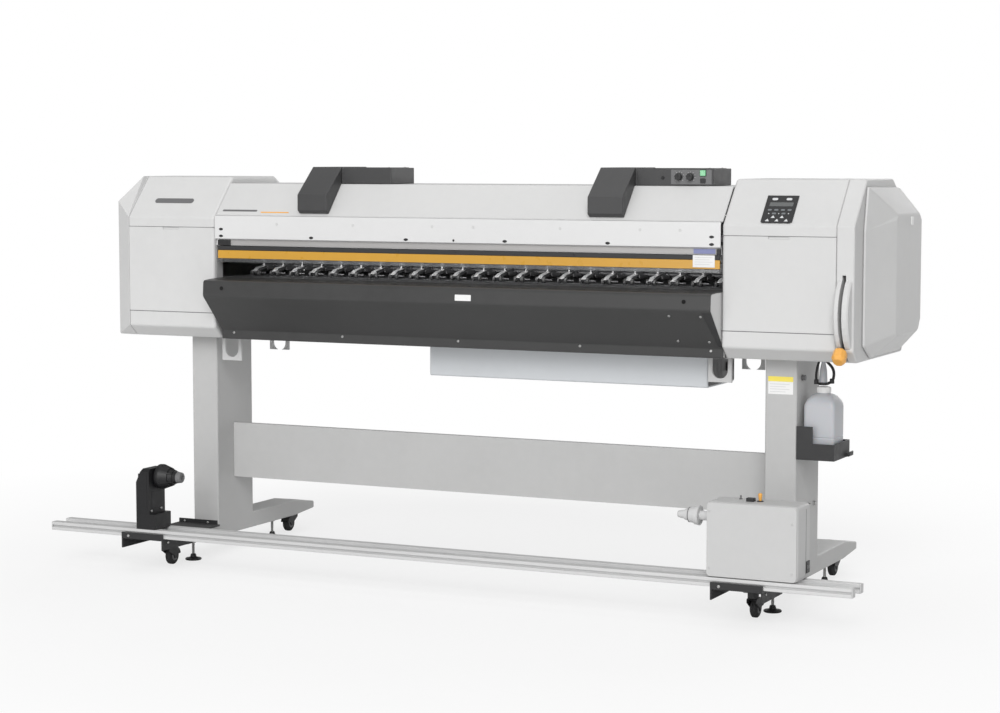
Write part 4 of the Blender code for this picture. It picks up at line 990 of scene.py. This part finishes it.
def motor_box_details():
    """Front plate, seam, socket, switches and the stepped drive cone."""
    x0, x1, y0, y1, bottom, top = span("takeup_motor_box")
    add_prism(rounded(x1 - x0 - 0.006, top - bottom - 0.005, 0.01, centre=(0.5 * (x0 + x1),
        0.5 * (bottom + top))), "Y", y0 - 0.0012, y0 + 0.004)
    piece("motor_box_front", BOX_GREY, bevel=0.001, segments=3)
    for x, z in ((x1 - 0.016, 0.3058), (x1 - 0.015, 0.165), (x0 + 0.011, 0.1654), (x0 + 0.011, 0.329)):
        add_screw((x, y0 - 0.0012, z), FRONT, 0.0034, 0.0014)
    piece("motor_box_screws", BOX_GREY)
    add_slab(rounded(0.003, top - bottom - 0.03, 0.0012), (x1, y0 + 0.076, 0.5 * (bottom + top)), SIDE_FACE,
        -0.0004, 0.0003)
    piece("motor_box_seam", PANEL_GREY)
    socket_y = y1 - 0.026
    add_slab(rounded(0.03, 0.034, 0.0025), (x1, socket_y, 0.174), SIDE_FACE, -0.0004, 0.0024)
    piece("motor_box_socket", BLACK, bevel=0.0008)
    for y in (socket_y - 0.0055, socket_y + 0.0055):
        add_box(x1 + 0.0022, x1 + 0.0036, y - 0.001, y + 0.001, 0.17, 0.179)
    piece("motor_box_socket_pins", SCREW)
    add_slab(rounded(0.023, 0.02, 0.002), (1.048, -0.218, top), TOP_FACE, -0.0004, 0.01)
    piece("motor_box_button", BLACK, bevel=0.0014, segments=3)
    add_lathe([(top - 0.0004, 0.005), (top + 0.002, 0.005), (top + 0.0022, 0.0022), (top + 0.0105, 0.0026),
        (top + 0.0115, 0.0016)], "Z", (1.008, -0.19, 0.0), 16)
    piece("motor_box_small_toggle", PANEL_GREY)
    add_lathe([(top - 0.0004, 0.01), (top + 0.0012, 0.01), (top + 0.0016, 0.0092), (top + 0.0016, 0.0074),
        (top + 0.0001, 0.0072)], "Z", (1.073, -0.21, 0.0), 24)
    piece("toggle_collar", BLACK)
    add_lathe([(0.8245, 0.005), (0.8255, 0.0085), (0.83, 0.0105), (0.848, 0.0135), (0.8485, 0.016),
        (0.862, 0.0185), (0.8625, 0.0215), (0.878, 0.024), (0.8785, 0.027), (0.892, 0.029),
        (0.8935, 0.0275), (0.894, 0.014), (0.92, 0.0135), (0.9205, 0.0165), (0.9316, 0.0165)], "X",
        CONE_CENTRE, 48)
    piece("drive_cone_body", CONE_GREY, "drive_cone", angle=28.0, replaces="drive_cone")
    add_lathe([(0.86, 0.0185), (0.8604, 0.0222), (0.8622, 0.0222), (0.8626, 0.02)], "X", CONE_CENTRE, 40)
    piece("drive_cone_ring", PANEL_GREY, "drive_cone")


# ----- waste bottle
BOTTLE_X = 1.1344
BOTTLE_Y = 0.176
FITTING = (1.133, 0.172, 0.0)
DRAIN_TOP = 0.734
# Height, half width, half depth and corner radius of the bottle.
BOTTLE_LEVELS = ((0.4426, 0.0415, 0.044, 0.008), (0.4436, 0.046, 0.0486, 0.009),
    (0.447, 0.0474, 0.0499, 0.01), (0.5, 0.0475, 0.05, 0.01), (0.501, 0.0467, 0.0492, 0.01),
    (0.5036, 0.0467, 0.0492, 0.01), (0.5046, 0.0475, 0.05, 0.01), (0.59, 0.0475, 0.05, 0.01),
    (0.599, 0.0466, 0.049, 0.011), (0.61, 0.0422, 0.044, 0.013), (0.622, 0.0345, 0.035, 0.016),
    (0.627, 0.0285, 0.0285, 0.018), (0.63, 0.021, 0.0215, 0.02), (0.6312, 0.0185, 0.0185, 0.0184))


def bottle_details():
    """Blow-moulded bottle with a cap, its hoses and fitting, the leg's hook and the tray's lip."""
    add_loft([[(x, y, z) for x, y in rounded(2.0 * half_x, 2.0 * half_y, corner, 8,
        (BOTTLE_X, BOTTLE_Y))] for z, half_x, half_y, corner in BOTTLE_LEVELS])
    piece("bottle_shell", BOTTLE, "waste_bottle", angle=34.0, replaces="waste_bottle")
    add_lathe([(0.631, 0.017), (0.6315, 0.0195), (0.633, 0.02), (0.648, 0.0195), (0.6496, 0.018),
        (0.65, 0.012)], "Z", (BOTTLE_X, BOTTLE_Y, 0.0), 40)
    for i in range(24):
        angle = 2.0 * math.pi * i / 24
        spot = (BOTTLE_X + 0.0198 * math.cos(angle), BOTTLE_Y + 0.0198 * math.sin(angle), 0.0)
        add_rod("Z", 0.6335, 0.6475, 0.0012, 0.0008, 0.001, spot, 6)
    piece("bottle_cap", LABEL, "waste_bottle")
    add_tube([(1.127, 0.176, DRAIN_TOP), (1.142, 0.176, 0.724), (1.159, 0.178, 0.705),
        (1.162, 0.182, 0.685), (1.156, 0.184, 0.666), (1.14, 0.18, 0.657)], 0.0042, 14, 10)
    add_tube([(1.124, 0.17, DRAIN_TOP), (1.117, 0.166, 0.71), (1.113, 0.166, 0.685), (1.113, 0.168, 0.662)],
        0.0036, 14, 8)
    hoses = piece("drain_hoses", RUBBER)
    add_lathe([(0.662, 0.01), (0.664, 0.012), (0.67, 0.012), (0.699, 0.0105), (0.72, 0.006),
        (0.733, 0.0058)], "Z", FITTING, 28)
    sleeve = piece("drain_sleeve", BOTTLE)
    add_lathe([(0.654, 0.009), (0.6545, 0.013), (0.656, 0.0145), (0.661, 0.0145), (0.6622, 0.0125)], "Z",
        FITTING, 28)
    for x, y, z in ((1.113, 0.168, 0.664), (1.156, 0.184, 0.666)):
        add_lathe([(z - 0.0075, 0.004), (z - 0.007, 0.0068), (z + 0.006, 0.0068), (z + 0.0075, 0.005)], "Z",
            (x, y, 0.0), 18)
    fitting = piece("drain_fitting", BLACK)
    # The flexible drain's hoses, sleeve and fitting each get a mesh of their own.
    for soft in (hoses, sleeve, fitting):
        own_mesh(soft)
    add_lathe([(1.075, 0.009), (1.0776, 0.0095), (1.0782, 0.007), (1.083, 0.0068), (1.0836, 0.0085),
        (1.0862, 0.008)], "X", (0.0, 0.15, 0.676), 24)
    piece("leg_hook", PANEL_GREY)
    x1 = span("bottle_holder")[1]
    lip = [(-0.0005, 0.44), (0.01, 0.44), (0.013, 0.443), (0.013, 0.453), (0.0105, 0.455), (0.0095, 0.453),
        (0.0095, 0.445), (-0.0005, 0.444)]
    add_prism([(x1 + a, z) for a, z in lip], "Y", 0.212, 0.25)
    piece("tray_lip", CHARCOAL, bevel=0.0008)
    for y in (0.13, 0.22):
        add_screw((1.0796, y, 0.47), RIGHT, 0.0036, 0.002)
    piece("tray_screws", SCREW)


# ----- stage
SKY_LIGHT = 0.37
KEY_STRENGTH = 2.1
KEY_SPREAD = 38.0
INNER_POWER = 0.8
FLOOR_HALF = 30.0
WHITE = (1.0, 1.0, 1.0, 1.0)


def pale_floor():
    """Matt pale floor that fades into the white background away from the object."""
    material = finish("floor_pale", grey(0.86), 0.75, mottle=0.004, grain=60.0, depth=0.00001, edge=0.0)
    tree = material.node_tree
    shader = next(item for item in tree.nodes if item.bl_idname == "ShaderNodeBsdfPrincipled")
    out = next(item for item in tree.nodes if item.bl_idname == "ShaderNodeOutputMaterial")
    coords = node(tree, "ShaderNodeTexCoord").outputs["Object"]
    away = node(tree, "ShaderNodeVectorMath", operation="LENGTH", links={0: coords}).outputs["Value"]
    seen = node(tree, "ShaderNodeLightPath").outputs["Is Camera Ray"]
    fade = multiply(tree, remap(tree, away, 1.4, 3.0, 0.72, 1.0), seen)
    white = node(tree, "ShaderNodeEmission", {"Color": WHITE, "Strength": 1.0}).outputs[0]
    blend = node(tree, "ShaderNodeMixShader", links={0: fade, 1: shader.outputs[0], 2: white}).outputs[0]
    tree.links.new(blend, out.inputs[0])
    return material


def add_lamp(name, kind, power, spot, target, **settings):
    """Put a light at a spot, aimed at a target, unseen by the camera."""
    light = bpy.data.lights.new(name, kind)
    light.energy = power
    for key, value in settings.items():
        setattr(light, key, value)
    lamp = bpy.data.objects.new(name, light)
    lamp.location = spot
    lamp.rotation_euler = (Vector(target) - Vector(spot)).to_track_quat("-Z", "Y").to_euler()
    lamp.visible_camera = False
    bpy.context.scene.collection.objects.link(lamp)


def studio():
    """Pale floor, soft lights and a camera at the chosen viewing angle."""
    mesh = bpy.data.meshes.new("floor")
    corners = [(FLOOR_HALF * a, FLOOR_HALF * b, 0.0) for a, b in ((-1, -1), (1, -1), (1, 1), (-1, 1))]
    mesh.from_pydata(corners, [], [(0, 1, 2, 3)])
    floor = bpy.data.objects.new("floor", mesh)
    bpy.context.scene.collection.objects.link(floor)
    mesh.materials.append(pale_floor())
    world = bpy.data.worlds.new("studio")
    world.use_nodes = True
    tree = world.node_tree
    background = tree.nodes["Background"]
    background.inputs[0].default_value = WHITE
    seen = node(tree, "ShaderNodeLightPath").outputs["Is Camera Ray"]
    tree.links.new(remap(tree, seen, 0.0, 1.0, SKY_LIGHT, 1.0), background.inputs[1])
    bpy.context.scene.world = world
    add_lamp("key", "SUN", KEY_STRENGTH, (1.6, -4.8, 3.2), (0.0, 0.0, 0.0), angle=math.radians(KEY_SPREAD))
    for name, spot, size, power in (("front", (-0.5, -6.2, 1.1), 2.4, 50.0),
            ("top", (0.0, 0.8, 4.8), 4.5, 50.0), ("rear", (0.8, 6.2, 1.9), 3.0, 70.0)):
        add_lamp(name, "AREA", power, spot, (0.0, 0.0, 0.75), size=size)
    # Weak light inside the opening, which shows the pressing arms.
    add_lamp("inner", "AREA", INNER_POWER, Vector((0.0, 0.045, 1.03)) + ORIGIN,
        Vector((0.0, 0.215, 0.95)) + ORIGIN, shape="RECTANGLE", size=1.6, size_y=0.03,
        spread=math.radians(115.0))
    camera = bpy.data.cameras.new("camera")
    camera.sensor_width = 36.0
    camera.lens = 81.97
    camera.clip_end = 100.0
    rig = bpy.data.objects.new("camera", camera)
    rig.location = Vector((3.171, -6.276, 1.326)) + ORIGIN
    rig.rotation_euler = (math.radians(90.0 - 5.01), 0.0, math.radians(25.66))
    bpy.context.scene.collection.objects.link(rig)
    bpy.context.scene.camera = rig
    bpy.context.scene.view_settings.view_transform = "Standard"


# ----- build
dress_nodes()
plate_details()
cover_details()
front_guide()
pressing_arms()
media_path()
carriage_details()
keypad()
door_seams()
badges()
housing_details()
duct_details()
power_box_details()
stand_details()
caster_details()
foot_details()
takeup_rails()
bracket_details()
idler_details()
motor_box_details()
bottle_details()
studio()
